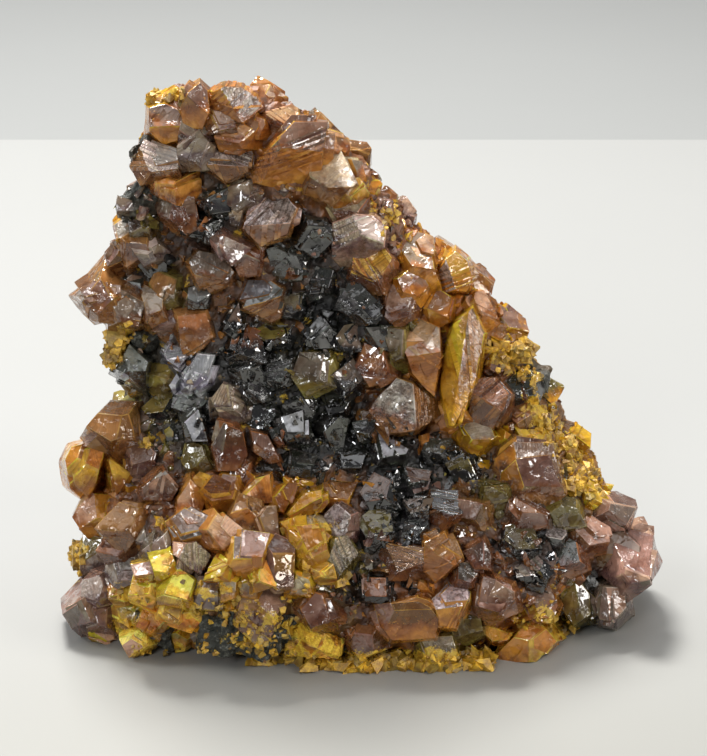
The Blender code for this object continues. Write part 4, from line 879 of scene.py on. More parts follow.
@dataclass
class Crystal:
    """One crystal: the planes of its faces in its own axes, their tones, and where it stands."""

    ways: Array
    offsets: Array
    tones: list[Tone]
    lined: list[bool]
    turn: Array
    middle: Array
    size: float
    body: Tone

    def solid(self) -> Solid | None:
        """The crystal's solid in its own axes."""
        return Solid.inside(self.ways, self.offsets)

    def beside(self, scale: float, shift: Array, twist: Array) -> "Crystal":
        """A crystal that grew beside this one, nearly parallel to it.

        Args:
            scale: Its size in times this one's.
            shift: How far its middle is moved, in this one's axes.
            twist: Its slant to this one.

        Returns:
            The crystal.
        """
        middle = self.middle + self.turn @ shift
        return replace(
            self, offsets=self.offsets * scale, turn=self.turn @ twist, middle=middle, size=self.size * scale
        )

    def plate(self, way: Array, low: float, high: float, proud: float) -> "Crystal":
        """A thin plate of growth that stands proud of this crystal's faces.

        Args:
            way: The plate's own way across, in this crystal's axes.
            low: Where the plate begins along that way.
            high: Where it ends.
            proud: How far it stands out of the faces.

        Returns:
            The plate, as a crystal of its own.
        """
        return replace(
            self,
            ways=np.vstack([self.ways, way, -way]),
            offsets=np.concatenate([self.offsets + proud, [high, -low]]),
            tones=[*self.tones, self.body, self.body],
            lined=[*self.lined, False, False],
        )


class MeshMaker:
    """Gathers solids into one mesh with the tint and the place that their finishes read."""

    # How often long edges are divided, and the angle, in radians, below which an edge is smooth.
    divisions = 4
    smooth_below = 0.15
    # The waves that bend the faces, in turns per millimetre, and the short one's share.
    long_wave, short_wave, short_share = 0.33, 0.9, 0.35

    def __init__(self) -> None:
        """Starts empty."""
        self.corners: list[Array] = []
        self.places: list[Array] = []
        self.lows: list[Array] = []
        self.faces: list[list[int]] = []
        self.tints: list[Tint] = []
        self.bodies: list[Tint] = []
        self.lines: list[Array] = []
        self.slots: list[int] = []
        self.count = 0

    def put(
        self,
        solid: Solid,
        turn: Array,
        middle: Array,
        tints: list[Tint],
        slots: list[int],
        start: Array,
        body: Tint = (0.0, 0.0, 0.0, 0.0),
        lines: list[float] | None = None,
    ) -> None:
        """Adds a solid.

        Args:
            solid: The solid in its own axes.
            turn: Its axes, one to a column.
            middle: Where its middle is.
            tints: The colour and frost of each of its planes.
            slots: Which of the mesh's materials each of its planes has.
            start: A place of its own for the textures to start from.
            body: The colour that shows through it where it is thin.
            lines: How strong the growth lines of each plane are.
        """
        corners = solid.corners @ turn.T + middle
        top, bottom = corners[:, 2].max(), corners[:, 2].min()
        self.corners.append(corners)
        self.places.append(solid.corners + start)
        self.lows.append((top - corners[:, 2]) / max(0.1, top - bottom))
        for plane, rim in solid.faces:
            self.faces.append([self.count + i for i in rim])
            self.tints.append(tints[plane])
            self.bodies.append(body)
            self.slots.append(slots[plane])
            rise = solid.corners[rim[1]] - solid.corners[rim[0]]
            rise = rise / (np.linalg.norm(rise) + TINY)
            self.lines.append(rise * (lines[plane] if lines else 0.0))
        self.count += len(solid.corners)

    def make(self, name: str, materials: list[Material], longest: float, bend: float) -> Object:
        """Makes the mesh and its object.

        Args:
            name: The object's name.
            materials: The mesh's materials.
            longest: Its longest edge, in millimetres.
            bend: How uneven its faces are, in millimetres.

        Returns:
            The object, in the scene.
        """
        mesh = bpy.data.meshes.new(name)
        mesh.from_pydata(np.vstack(self.corners), [], self.faces)
        note(mesh, "low", "FLOAT", "POINT", np.concatenate(self.lows))
        note(mesh, "place", "FLOAT_VECTOR", "POINT", np.vstack(self.places))
        note(mesh, "body", "FLOAT_COLOR", "FACE", self.bodies)
        note(mesh, "tint", "FLOAT_COLOR", "FACE", self.tints)
        note(mesh, "lines", "FLOAT_VECTOR", "FACE", self.lines)
        for material in materials:
            mesh.materials.append(material)
        mesh.polygons.foreach_set("material_index", self.slots)
        self.uneven(mesh, longest, bend)
        return placed(name, mesh)

    @staticmethod
    def uneven(mesh: Mesh, longest: float, bend: float) -> None:
        """Divides a mesh's faces, bends them a little and turns its millimetres into metres.

        Args:
            mesh: The mesh.
            longest: The longest edge that isn't divided.
            bend: How far its points move.
        """
        bm = bmesh.new()
        bm.from_mesh(mesh)
        for edge in bm.edges:
            edge.smooth = edge.calc_face_angle(0.0) < MeshMaker.smooth_below
        bmesh.ops.triangulate(bm, faces=bm.faces)
        for _ in range(MeshMaker.divisions):
            long = [edge for edge in bm.edges if edge.calc_length() > longest]
            if not long:
                break
            bmesh.ops.subdivide_edges(bm, edges=long, cuts=1)
            bmesh.ops.triangulate(bm, faces=[face for face in bm.faces if len(face.verts) > 3])
        for face in bm.faces:
            face.smooth = True
        for vert in bm.verts:
            place = vert.co
            drift = noise.noise_vector(place * MeshMaker.long_wave)
            drift += noise.noise_vector(place * MeshMaker.short_wave) * MeshMaker.short_share
            vert.co = (place + drift * bend) * MM
            vert.co.z = max(vert.co.z, 0.0)
        bm.to_mesh(mesh)
        bm.free()
        mesh.update()


def on_sighting_plane(places: Array) -> Array:
    """Where these places, one to a row, are seen on the sighting plane.

    Args:
        places: The places.

    Returns:
        The places across and up, one to a row.
    """
    ahead = np.array((TARGET - EYE).normalized())
    rise = np.cross((1.0, 0.0, 0.0), ahead)
    sight = places - np.array(EYE)
    far = (TARGET - EYE).length / (sight @ ahead)
    return np.stack([sight[:, 0] * far + SIGHT[0], (sight @ rise) * far + SIGHT[1]], axis=1)


def placed(name: str, data: Any) -> Object:
    """An object of this data, in the scene."""
    made = bpy.data.objects.new(name, data)
    bpy.context.scene.collection.objects.link(made)
    return made


def note(mesh: Mesh, name: str, kind: str, domain: str, values: Any) -> None:
    """Notes something on each point or face of a mesh, for the finishes to read.

    Args:
        mesh: The mesh.
        name: The attribute's name.
        kind: FLOAT, FLOAT_VECTOR or FLOAT_COLOR.
        domain: POINT or FACE.
        values: The values, in the order of the points or faces.
    """
    key = {"FLOAT": "value", "FLOAT_VECTOR": "vector", "FLOAT_COLOR": "color"}[kind]
    data = mesh.attributes.new(name, kind, domain).data
    data.foreach_set(key, np.asarray(values, dtype=np.float32).ravel())


def read(mesh: Mesh, what: str = "co") -> Array:
    """The places of a mesh's points, one to a row, or what else they have three numbers for."""
    rows = np.empty(len(mesh.vertices) * 3)
    mesh.vertices.foreach_get(what, rows)
    return rows.reshape(-1, 3)


def dust_over(piece: Object) -> None:
    """Notes how much yellow dust lies at each of a piece's points.

    Args:
        piece: The piece.
    """
    seen = on_sighting_plane(read(piece.data) / MM)
    amount = np.zeros(len(seen))
    for across, up, to_across, to_up, spread, strength, _, _ in BANDS:
        if not strength:
            continue
        start, run = np.array((across, up)), np.array((to_across - across, to_up - up))
        share = np.clip((seen - start) @ run / max(0.01, run @ run), 0, 1)
        off = np.linalg.norm(seen - start - share[:, None] * run, axis=1)
        amount = np.maximum(amount, strength * np.exp(-((off / spread) ** 2)))
    note(piece.data, "dust", "FLOAT", "POINT", amount)


def settle(piece: Object, node: str) -> None:
    """Lets a piece ride on the specimen and stand for a node.

    Args:
        piece: The piece.
        node: The node that it replaces.
    """
    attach(piece, BODY)
    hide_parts(node)
    faces = sum(len(p.vertices) - 2 for p in piece.data.polygons)
    log.info("%s: %d triangles, replaces %s", piece.name, faces, node)


def way_out(azimuth: float, slope: float) -> Vector:
    """The unit vector at this azimuth, sloped this far from the axis, in degrees."""
    a, s = radians(azimuth), radians(slope)
    return Vector((cos(a) * sin(s), sin(a) * sin(s), cos(s)))


def sight_line(across: float, up: float) -> Vector:
    """The way from the eye through a place on the sighting plane.

    Args:
        across: The place across the plane.
        up: The place up it.

    Returns:
        The way, one long.
    """
    ahead = (TARGET - EYE).normalized()
    rise = ACROSS.cross(ahead)
    place = TARGET + ACROSS * (across - SIGHT[0]) + rise * (up - SIGHT[1])
    return (place - EYE).normalized()


def axes(axis: Vector, side: Vector) -> Array:
    """The axes, one to a column, of something that points along axis with this side.

    Args:
        axis: The way it points.
        side: Roughly its first axis.

    Returns:
        The matrix.
    """
    up = axis.normalized()
    first = (side - side.dot(up) * up).normalized()
    return np.array(Matrix((first, up.cross(first), up)).transposed())


def stray(draw: Random, reach: float) -> Vector:
    """A vector whose three parts are each drawn from -reach to reach."""
    return Vector([draw.uniform(-reach, reach) for _ in range(3)])


def turned(draw: Random) -> Array:
    """The axes of something that is turned at random."""
    return np.array(Euler([draw.uniform(0, 2 * pi) for _ in range(3)]).to_matrix())


def lump_planes(span: Span, count: int, draw: Random) -> list[Plane]:
    """The planes of a blunt, many-sided lump.

    Args:
        span: Its size along each axis.
        count: How many faces it has.
        draw: Where its chances come from.

    Returns:
        The planes.
    """
    planes = []
    for k in range(count):
        height = 1 - 2 * (k + 0.5) / count
        turn = k * pi * (3 - sqrt(5))
        ring = sqrt(1 - height * height)
        way = Vector((ring * cos(turn), ring * sin(turn), height))
        way = (way + stray(draw, 0.25)).normalized()
        stretch = Vector([way[i] * span[i] / 2 for i in range(3)]).length
        planes.append((way, stretch * draw.uniform(0.82, 1.0)))
    return planes


def as_arrays(planes: list[Plane]) -> tuple[Array, Array]:
    """The planes' ways and distances as arrays."""
    return np.array([tuple(way) for way, _ in planes]), np.array([distance for _, distance in planes])


def combine(name: str, first: Object, others: list[Object], operation: str) -> Object:
    """Joins solids with the first one, or cuts them from it.

    Args:
        name: The new object's name.
        first: The solid to start from, which goes.
        others: The other solids, which go too.
        operation: UNION or DIFFERENCE.

    Returns:
        The new object.
    """
    pieces = bpy.data.collections.new(name + "_pieces")
    for other in others:
        pieces.objects.link(other)
    step = first.modifiers.new("combine", "BOOLEAN")
    step.operation = operation
    step.operand_type = "COLLECTION"
    step.collection = pieces
    step.solver = "EXACT"
    made = applied(name, first)
    for old in [first, *others]:
        bpy.data.objects.remove(old)
    bpy.data.collections.remove(pieces)
    return made


def applied(name: str, source: Object) -> Object:
    """A new object with the source's modifiers applied.

    Args:
        name: The new object's name.
        source: The source.

    Returns:
        The new object.
    """
    bpy.context.view_layer.update()
    shown = source.evaluated_get(bpy.context.evaluated_depsgraph_get())
    made = placed(name, bpy.data.meshes.new_from_object(shown))
    made.data.name = name
    return made


def object_of(name: str, bm: BMesh) -> Object:
    """An object of this bmesh, which is in millimetres and stays so.

    Args:
        name: The object's name.
        bm: The bmesh, which is freed.

    Returns:
        The object.
    """
    mesh = bpy.data.meshes.new(name)
    bm.to_mesh(mesh)
    bm.free()
    return placed(name, mesh)


def remeshed(name: str, source: Object, grain: float) -> Object:
    """A new object with the source's skin rebuilt from even quads.

    Args:
        name: The new object's name.
        source: The object, in millimetres, which goes.
        grain: The quads' size.

    Returns:
        The new object.
    """
    step = source.modifiers.new("remesh", "REMESH")
    step.mode = "VOXEL"
    step.voxel_size = grain
    made = applied(name, source)
    bpy.data.objects.remove(source)
    return made


def roughen(
    mesh: Mesh,
    waves: tuple[Pair, ...],
    facets: tuple[Pair, ...],
    inward: float = 0.0,
) -> Array:
    """Pushes a mesh's points in and out by noise, none of them below the base.

    Args:
        mesh: The mesh, in millimetres.
        waves: Each wave's pitch and height.
        facets: The pitch and height of each size of blunt, flat-sided bump.
        inward: How far the whole skin is moved inwards.

    Returns:
        The points' new places.
    """
    points, ways = read(mesh), read(mesh, "normal")
    push = np.full(len(points), -inward)
    for index, point in enumerate(points):
        spot = Vector(point)
        for pitch, height in waves:
            push[index] += height * (1 - 2.4 * abs(noise.noise(spot / pitch)))
        for pitch, height in facets:
            far = noise.voronoi(spot / pitch, distance_metric="CHEBYCHEV")[0][0]
            push[index] += height * (0.8 - 1.6 * far)
    points = points + ways * push[:, None]
    points[:, 2] = np.maximum(points[:, 2], 0.0)
    mesh.vertices.foreach_set("co", (points * MM).ravel())
    note(mesh, "place", "FLOAT_VECTOR", "POINT", points)
    mesh.update()
    return points


@dataclass
class HostRock:
    """The rock: a leaning wedge, with lumps that stand out of the crust, a broken back and a flat base."""

    # Outlines at rising heights: height, left, right, front, back.
    levels: Rows = (
        (0, -33, 27, -20, 16), (4, -38.5, 32, -23.5, 20), (11, -41, 39, -23, 22),
        (18, -41.5, 39, -18, 22.5), (26, -40, 34.5, -10.5, 22), (34, -36, 29, -5, 21),
        (43, -34.5, 24.5, -3.5, 19.5), (52, -37.5, 18, -1.5, 18), (61, -35, 8.5, 0, 16),
        (69, -34, 1.5, 1, 14.5), (77, -32, -5, 2, 13), (84, -29, -17, 3, 9),
    )
    ring_points: int = 16
    squareness: float = 2.4
    rugged: float = 1.4
    rugged_pitch: float = 8.0
    # Forms of the front: across, height, half width, half height, how far out.
    front_forms: Rows = (
        (-25, 17, 19, 9, 7), (22, 12, 16, 9, 3), (2, 31, 13, 7, -3.5), (-12, 52, 9, 12, -1.5),
    )
    # The breaks across the back: a place on each, and the way it looks.
    back_breaks: tuple[tuple[tuple[float, ...], tuple[float, ...]], ...] = (
        ((-6, 17.5, 30), (-0.14, 0.97, 0.13)),
        ((14, 18, 20), (0.35, 0.9, 0.05)),
        ((-28, 16, 22), (-0.55, 0.82, -0.1)),
        ((-16, 13.5, 62), (0.12, 0.96, 0.28)),
        ((6, 15, 48), (0.55, 0.78, 0.3)),
        ((0, 19, 9), (0.05, 0.93, -0.36)),
    )
    least_back: float = 1.5
    back_rugged: float = 1.6
    # Lumps of bare rock: across, depth, height, size.
    lumps: Rows = (
        (-33.5, 1.5, 68, 8), (-32.5, 2, 75, 8), (-34.5, 4.5, 61.5, 8), (-35.5, 1.5, 46.5, 7.5),
        (-34, 1, 39.5, 7), (-16.5, -25.5, 6.6, 10.5), (-22.5, -26, 5.6, 7.5), (-32, -20, 4.6, 8),
        (-9, -23, 5, 8), (-2.5, -23, 4.4, 6.5), (28.5, 3, 38, 7),
    )
    lump_faces: int = 9
    grain: float = 0.75
    waves: tuple[Pair, ...] = ((5.5, 0.5), (2.2, 0.35), (0.9, 0.16))
    facets: tuple[Pair, ...] = ((4.5, 1.6), (1.9, 1.1))
    inward: float = 0.9
    finish: RockFinish = field(default_factory=RockFinish)

    def weather(self, point: Vector, centre_y: float) -> Vector:
        """Moves a point by the rock's unevenness, its forms in front and its breaks behind.

        Args:
            point: The point on its level's outline.
            centre_y: The middle of that outline, front to back.

        Returns:
            The point's place.
        """
        place = point / self.rugged_pitch
        drift = Vector((noise.noise(place), noise.noise(place + Vector((9, 9, 9))), 0))
        moved = point + drift * self.rugged
        if point.y < centre_y:
            for across, height, half_width, half_height, out in self.front_forms:
                off = ((point.x - across) / half_width) ** 2 + ((point.z - height) / half_height) ** 2
                moved.y -= out * exp(-off)
        for spot, way in self.back_breaks:
            over = (moved - Vector(spot)).dot(Vector(way))
            if over > 0 and point.y > centre_y:
                moved.y = max(moved.y - over / way[1], centre_y + self.least_back)
        if point.y > centre_y + self.least_back:
            moved.y += self.back_rugged * noise.noise(place * 1.3)
        return moved

    def ring(self, level: tuple[float, ...]) -> list[Vector]:
        """The points of one level's outline.

        Args:
            level: Its height and how far it reaches left, right, front and back.

        Returns:
            The points.
        """
        height, left, right, front, back = level
        centre_x, centre_y = (left + right) / 2, (front + back) / 2
        points = []
        for i in range(self.ring_points):
            turn = 2 * pi * i / self.ring_points
            c, s = cos(turn), sin(turn)
            x = centre_x + (right - left) / 2 * copysign(abs(c) ** (2 / self.squareness), c)
            y = centre_y + (back - front) / 2 * copysign(abs(s) ** (2 / self.squareness), s)
            points.append(self.weather(Vector((x, y, height)), centre_y))
        return points

    def skin(self, grow: float = 0.0) -> BMesh:
        """The wedge without its lumps.

        Args:
            grow: How far its skin is moved outwards.

        Returns:
            The bmesh, in millimetres.
        """
        bm = bmesh.new()
        rings = [[bm.verts.new(p) for p in self.ring(level)] for level in self.levels]
        for low, high in pairwise(rings):
            for i in range(self.ring_points):
                j = (i + 1) % self.ring_points
                bm.faces.new((low[i], low[j], high[j], high[i]))
        bm.faces.new(list(reversed(rings[0])))
        bm.faces.new(rings[-1])
        bmesh.ops.triangulate(bm, faces=bm.faces)
        bm.normal_update()
        shifts = [v.normal * grow for v in bm.verts]
        for v, shift in zip(bm.verts, shifts):
            v.co += shift
        return bm

    def lump_objects(self, seeds: list[float]) -> list[Object]:
        """The lumps, each from its own seed.

        Args:
            seeds: The seeds.

        Returns:
            The lumps.
        """
        made = []
        for (across, depth, height, size), seed in zip(self.lumps, seeds):
            planes = lump_planes((size, size * 0.8, size * 0.9), self.lump_faces, Random(seed))
            solid = Solid.inside(*as_arrays(planes))
            mesh = bpy.data.meshes.new("lump")
            spot = np.array((across, depth, height))
            mesh.from_pydata(solid.corners + spot, [], [rim for _, rim in solid.faces])
            made.append(placed("lump", mesh))
        return made

    def build(self, seeds: list[float], dust: YellowDust) -> Object:
        """Builds and dresses the rock.

        Args:
            seeds: One for each lump.
            dust: The effect of the yellow dust.

        Returns:
            The rock.
        """
        whole = combine("wedge", object_of("wedge", self.skin()), self.lump_objects(seeds), "UNION")
        rock = remeshed("dark_rock", whole, self.grain)
        roughen(rock.data, self.waves, self.facets, self.inward)
        rock.data.materials.clear()
        rock.data.materials.append(self.finish.make(dust))
        settle(rock, ROCK_NODE)
        return rock


def tree_of(*groups: list[Object]) -> tuple[BVHTree, list[int]]:
    """The search tree of these groups of pieces, in millimetres.

    Args:
        *groups: The groups of pieces, in metres.

    Returns:
        The tree, and which group each of its faces is of.
    """
    points, faces, owners = [], [], []
    for index, group in enumerate(groups):
        for piece in group:
            first = len(points)
            points.extend((read(piece.data) / MM).tolist())
            faces.extend([first + i for i in polygon.vertices] for polygon in piece.data.polygons)
            owners.extend([index] * len(piece.data.polygons))
    return BVHTree.FromPolygons(points, faces), owners


@dataclass(frozen=True)
class Habit:
    """How a crystal's sides differ: their azimuths' stray, their slopes and the least reach."""

    stray: float
    slopes: Pair
    least: float


PRISM = Habit(17, (74, 86), 0.88)
SHARD = Habit(25, (66, 88), 0.6)


@dataclass
class Spot:
    """Where something of a tone stands on the specimen."""

    middle: Vector
    tone: Tone
    face: Tone


class Ground(Enum):
    """What a fine crystal stands on."""

    CRYSTAL = 0
    CRUST = 1
    ROCK = 2


@dataclass
class CrystalCover:
    """The crystals: listed large and small ones, those that fill in, and the finest between them."""

    rock: HostRock
    materials: list[Material]
    crust: float = 1.7
    row_scale: float = 1.12
    lean: float = 0.2
    large_out: float = 0.8
    taper: float = 9.0
    # Below this room across, in square millimetres, a prism has four sides and not five.
    fewer_sides: float = 8.0
    least_tip: float = 1.4
    spine: Pair = (-9.0, 0.17)
    fill_tries: int = 900
    fill_space: float = 0.75
    fill_size: Pair = (5.5, 9.5)
    fill_limit: int = 38
    fill_back: float = 10.0
    fill_lowest: float = 5.0
    fill_squash: Pair = (0.75, 1.2)
    fill_tilt: Pair = (14, 38)
    # How much a filled-in crystal and a fine one lean from the way out.
    fill_lean: float = 0.35
    fine_lean: float = 0.6
    fine_squash: Pair = (0.4, 1.4)
    # How deep the roots go, and how far round the listed crystals none are filled in.
    table_root: float = 2.4
    large_root: float = 3.2
    fill_root: float = 2.4
    clear: float = 3.0
    chamfer: Pair = (0.05, 0.14)
    faint_lines: tuple[float, ...] = (0.0, 0.1, 0.4)
    # How much lighter and warmer one face is than another, and a worn edge's narrow face than its faces,
    # which is a painted highlight along the edge.
    light: Pair = (0.42, 1.68)
    warm: Pair = (0.9, 1.12)
    edge_painted_highlight: float = 1.35
    edge_painted_glow: float = 1.25
    edge_frost: float = 0.2
    # The sizes from which a crystal's edges are worn and others grow beside it.
    worn_from: float = 2.5
    joined_from: float = 3.2
    # The growth plates on a face that has them and on some others, their widths in times the face's
    # and how far they stand out.
    plates: tuple[int, int] = (8, 14)
    few_plates: tuple[int, int] = (1, 3)
    few_share: float = 0.35
    plate_wide: Pair = (0.02, 0.09)
    plate_proud: Pair = (0.03, 0.12)
    # How many crystals grow beside each, their sizes in times its own, how far out and how much
    # higher they stand, how much less worn they are, and their slant to it.
    steps: tuple[int, ...] = (1, 2, 2, 3)
    fine_steps: tuple[int, ...] = (0, 1)
    step_scale: Pair = (0.5, 0.9)
    step_out: Pair = (0.0, 0.8)
    step_rise: Pair = (-0.3, 0.6)
    step_worn: float = 0.7
    slant: float = 6.0
    # Edges where two faces turn by less than this cosine says aren't worn.
    flat_edge: float = 0.94
    # The step between the places where a fine crystal may stand, and the sizes of such crystals.
    sight_step: float = 1.15
    side_step: float = 2.4
    finest: Pair = (1.2, 3.8)
    side_finest: Pair = (1.2, 2.6)
    highest: float = 100.0
    highest_sown: float = 80.0
    sown_back: float = 14.0
    # The ways from which the sides and the top are sown.
    side_ways: Rows = ((1, 0.3, -0.2), (-1, 0.3, -0.2), (0.1, 0.3, -1))
    # How often one stands on each kind of ground.
    sown: Span = (0.3, 0.7, 0.35)
    rock_codes: tuple[str, ...] = tuple("KG GS VV VE SS TE MM TE ML VT TT GT BM VZ".split())
    longest: float = 2.6
    bend: float = 0.12
    # How many rays have looked for a place so far: each has a draw of its own.
    rays: int = 0
    draw: Random = field(default_factory=lambda: Random(SEED))
    spots: list[Spot] = field(default_factory=list)
    nodules: list[tuple[Vector, list[Plane]]] = field(default_factory=list)
    makers: dict[Zone, MeshMaker] = field(default_factory=lambda: {zone: MeshMaker() for zone in Zone})

    def __post_init__(self) -> None:
        """Makes the crust that the crystals stand on and the draw for what they look like."""
        self.ground = self.rock.skin(self.crust)
        self.tree = BVHTree.FromBMesh(self.ground)
        self.looks = Random(SEED + 1)
        self.maker = self.makers[Zone.SUMMIT]
        # The painted light and shade of the crystal being added, from the spots.
        self.shade = 1.0

    def meet(self, across: float, up: float) -> tuple[Vector, Vector, float, float]:
        """Where a sight line meets the crust, or passes nearest to it.

        Args:
            across: The place across the sighting plane.
            up: The place up it.

        Returns:
            The place, the crust's way out, the distance from the eye, and how far outside it is.
        """
        ahead = sight_line(across, up)
        place, normal, _, distance = self.tree.ray_cast(EYE, ahead)
        if place is not None:
            return place, normal, distance, 0.0
        best = None
        for step in range(60):
            distance = 270 + 2 * step
            place = EYE + ahead * distance
            if place.y > self.spine[0] + self.spine[1] * place.z:
                break
            _, normal, _, gap = self.tree.find_nearest(place)
            if best is None or gap < best[3]:
                best = (place, normal, distance, gap)
        return best

    def sides(self, halves: Pair, count: int, habit: Habit) -> list[Plane]:
        """The side faces of a crystal.

        Args:
            halves: Half its sizes across and the other way.
            count: How many sides it has.
            habit: How much the sides differ.

        Returns:
            The planes.
        """
        planes = []
        for k in range(count):
            azimuth = 360 / count * k + self.draw.uniform(-habit.stray, habit.stray)
            a = radians(azimuth)
            reach = hypot(halves[0] * cos(a), halves[1] * sin(a))
            way = way_out(azimuth, self.draw.uniform(*habit.slopes))
            planes.append((way, reach * self.draw.uniform(habit.least, 1.0)))
        return planes

    def prism(self, halves: Pair, facing: float, tilt: float) -> list[Plane]:
        """The faces of a stubby prism with a slanted, chisel-like end.

        Args:
            halves: Half its sizes across and the other way.
            facing: The way its main face looks, in degrees.
            tilt: That face's slope.

        Returns:
            The planes, the last three of them those of the end, the main face first.
        """
        draw, room = self.draw, halves[0] * halves[1]
        planes = self.sides(halves, 5 if room > self.fewer_sides else 4, PRISM)
        tip = 0.5 * sqrt(room) + self.least_tip
        peak = Vector(way_out(facing + 180, 90)) * min(halves) * 0.3
        peak.z = tip
        for turn, slope, rise in (
            (facing, tilt, 0.0),
            (facing + 180 + draw.uniform(-25, 25), draw.uniform(36, 54), 0.04),
            (facing + draw.choice((-90, 90)) + draw.uniform(-20, 20), draw.uniform(42, 60), 0.2),
        ):
            way = way_out(turn, slope)
            planes.append((way, way.dot(peak) + rise * tip))
        return planes

    def shard(self, halves: Pair) -> list[Plane]:
        """The faces of a small, sharp crystal.

        Args:
            halves: Half its sizes across and the other way.

        Returns:
            The planes, the last three of them those of the end, the main face first.
        """
        draw = self.draw
        planes = self.sides(halves, draw.choice((3, 4, 4)), SHARD)
        tip = sqrt(halves[0] * halves[1]) * draw.uniform(0.7, 1.3) + 0.4
        facing = draw.uniform(0, 360)
        for turn, slopes in ((0, (15, 45)), (150, (35, 60)), (250, (40, 65))):
            way = way_out(facing + turn, draw.uniform(*slopes))
            planes.append((way, way.z * tip))
        return planes

    def crystal(
        self, planes: list[Plane], code: str, turn: Array, middle: Vector, root: float, size: float
    ) -> Crystal:
        """A crystal of these planes, with a blunt root.

        Args:
            planes: Its planes; the last ones are the faces that the code names.
            code: The letters of its body and of its last faces.
            turn: Its axes.
            middle: Where it stands.
            root: How deep its root goes.
            size: Its size across.

        Returns:
            The crystal.
        """
        body, faces = Tone(code[0].upper()), code[1:]
        tones = [body] * len(planes)
        lined = [False] * len(planes)
        start = len(planes) - max(len(faces), 3 if len(code) == 2 else len(faces))
        for index, letter in enumerate(faces):
            tones[start + index] = Tone(letter.upper())
            lined[start + index] = letter.islower()
        planes = [*planes, *((way_out(azimuth, 142), root * 0.95) for azimuth in (40, 160, 280))]
        ways, offsets = as_arrays(planes)
        return Crystal(ways, offsets, [*tones, body, body, body], [*lined, False, False, False],
                       turn, np.array(middle), size, body)

    def small(self, row: tuple[Any, ...]) -> Crystal:
        """The crystal that a row of the tables sets out.

        Args:
            row: The row.

        Returns:
            The crystal.
        """
        across, up, width, height, turn, facing, tilt, out, code = row
        place, normal, distance, gap = self.meet(across, up)
        back = -sight_line(across, up)
        scale = self.row_scale * distance / (TARGET - EYE).length
        axis = (back * 0.75 + normal * 0.45 + stray(self.draw, self.lean)).normalized()
        a = radians(turn)
        side = ACROSS * cos(a) + ACROSS.cross(-back) * sin(a)
        planes = self.prism((width / 2 * scale, height / 2 * scale), facing - turn, tilt)
        middle = place + back * (out + 0.2)
        root = out + self.table_root + gap
        return self.crystal(planes, code, axes(axis, side), middle, root, (width + height) / 2)

    def large(self, entry: tuple[Any, ...]) -> Crystal:
        """The crystal that an outline sets out.

        Args:
            entry: Its tones, its peak, the faces that meet there, and its outline.

        Returns:
            The crystal.
        """
        code, peak, faces, outline = entry
        middle_u = sum(p[0] for p in outline) / len(outline)
        middle_w = sum(p[1] for p in outline) / len(outline)
        place, _, distance, gap = self.meet(middle_u, middle_w)
        back = -sight_line(middle_u, middle_w)
        scale = distance / (TARGET - EYE).length
        corners = [Vector((u - middle_u, w - middle_w, 0)) * scale for u, w in outline]
        round_way = sum(a.x * b.y - a.y * b.x for a, b in pairwise([*corners, corners[0]]))
        planes = []
        for a, b in pairwise([*corners, corners[0]]):
            along = (b - a).normalized() * copysign(1, round_way)
            way = Vector((along.y, -along.x, sin(radians(self.taper)))).normalized()
            planes.append((way, way.dot(a)))
        top = Vector(((peak[0] - middle_u) * scale, (peak[1] - middle_w) * scale, peak[2] * scale))
        for facing, tilt in faces:
            way = way_out(facing, tilt)
            planes.append((way, way.dot(top)))
        reach = max(c.length for c in corners) * 1.7
        return self.crystal(planes, code, axes(back, ACROSS), place + back * self.large_out,
                            self.large_out + self.large_root + gap, reach)

    def fill(self, taken: list[tuple[Vector, float]]) -> list[Crystal]:
        """Crystals between the others and round the sides, each where the crust is free.

        Args:
            taken: The middles and half sizes of what stands already.

        Returns:
            The crystals.
        """
        draw, made = self.draw, []
        front = [f for f in self.ground.faces if f.calc_center_median().y < self.fill_back]
        faces = [f for f in front if f.normal.z > -0.6]
        areas = [f.calc_area() for f in faces]
        for _ in range(self.fill_tries):
            face = draw.choices(faces, areas)[0]
            a, b, c = (v.co for v in face.verts[:3])
            s, t = sorted((draw.random(), draw.random()))
            spot = a * s + b * (t - s) + c * (1 - t)
            half = draw.uniform(*self.fill_size) / 2
            room = min((spot - other).length - radius for other, radius in taken)
            if spot.z < self.fill_lowest or room < half * self.fill_space or len(made) == self.fill_limit:
                continue
            turn = axes(face.normal + stray(draw, self.fill_lean), stray(draw, 1))
            halves = (half, half * draw.uniform(*self.fill_squash))
            planes = self.prism(halves, draw.uniform(0, 360), draw.uniform(*self.fill_tilt))
            code = self.near_code(spot)
            made.append(self.crystal(planes, code, turn, spot, self.fill_root, half * 2))
            taken.append((spot, half))
        return made

    def near_code(self, spot: Vector) -> str:
        """The letters of a crystal that takes after one of those near it."""
        near = self.near.find_n(spot, 3)
        chosen = self.spots[self.looks.choice(near)[1]]
        return chosen.tone.value + chosen.face.value

    def tint(self, tone: Tone, edge: bool = False) -> Tint:
        """A face's colour and frost.

        Args:
            tone: The face's tone.
            edge: Whether it is the narrow face of a worn edge, which gets a painted highlight.

        Returns:
            Red, green, blue and frost.
        """
        colour, frost = tone.colour, tone.frost
        # self.shade is the painted light and shade of the crystal's place.
        light = self.looks.uniform(*self.light) * self.shade
        warm = self.looks.uniform(*self.warm)
        # The narrow face of a worn edge gets a painted highlight: lighter, and warmer on clear crystals.
        if edge:
            light, frost = light * self.edge_painted_highlight, self.edge_frost
            warm *= self.edge_painted_glow if tone.clarity is Clarity.CLEAR else 1.0
        red, green, blue = (min(0.97, c * light) for c in colour)
        return red, min(0.9, green * warm), blue, frost

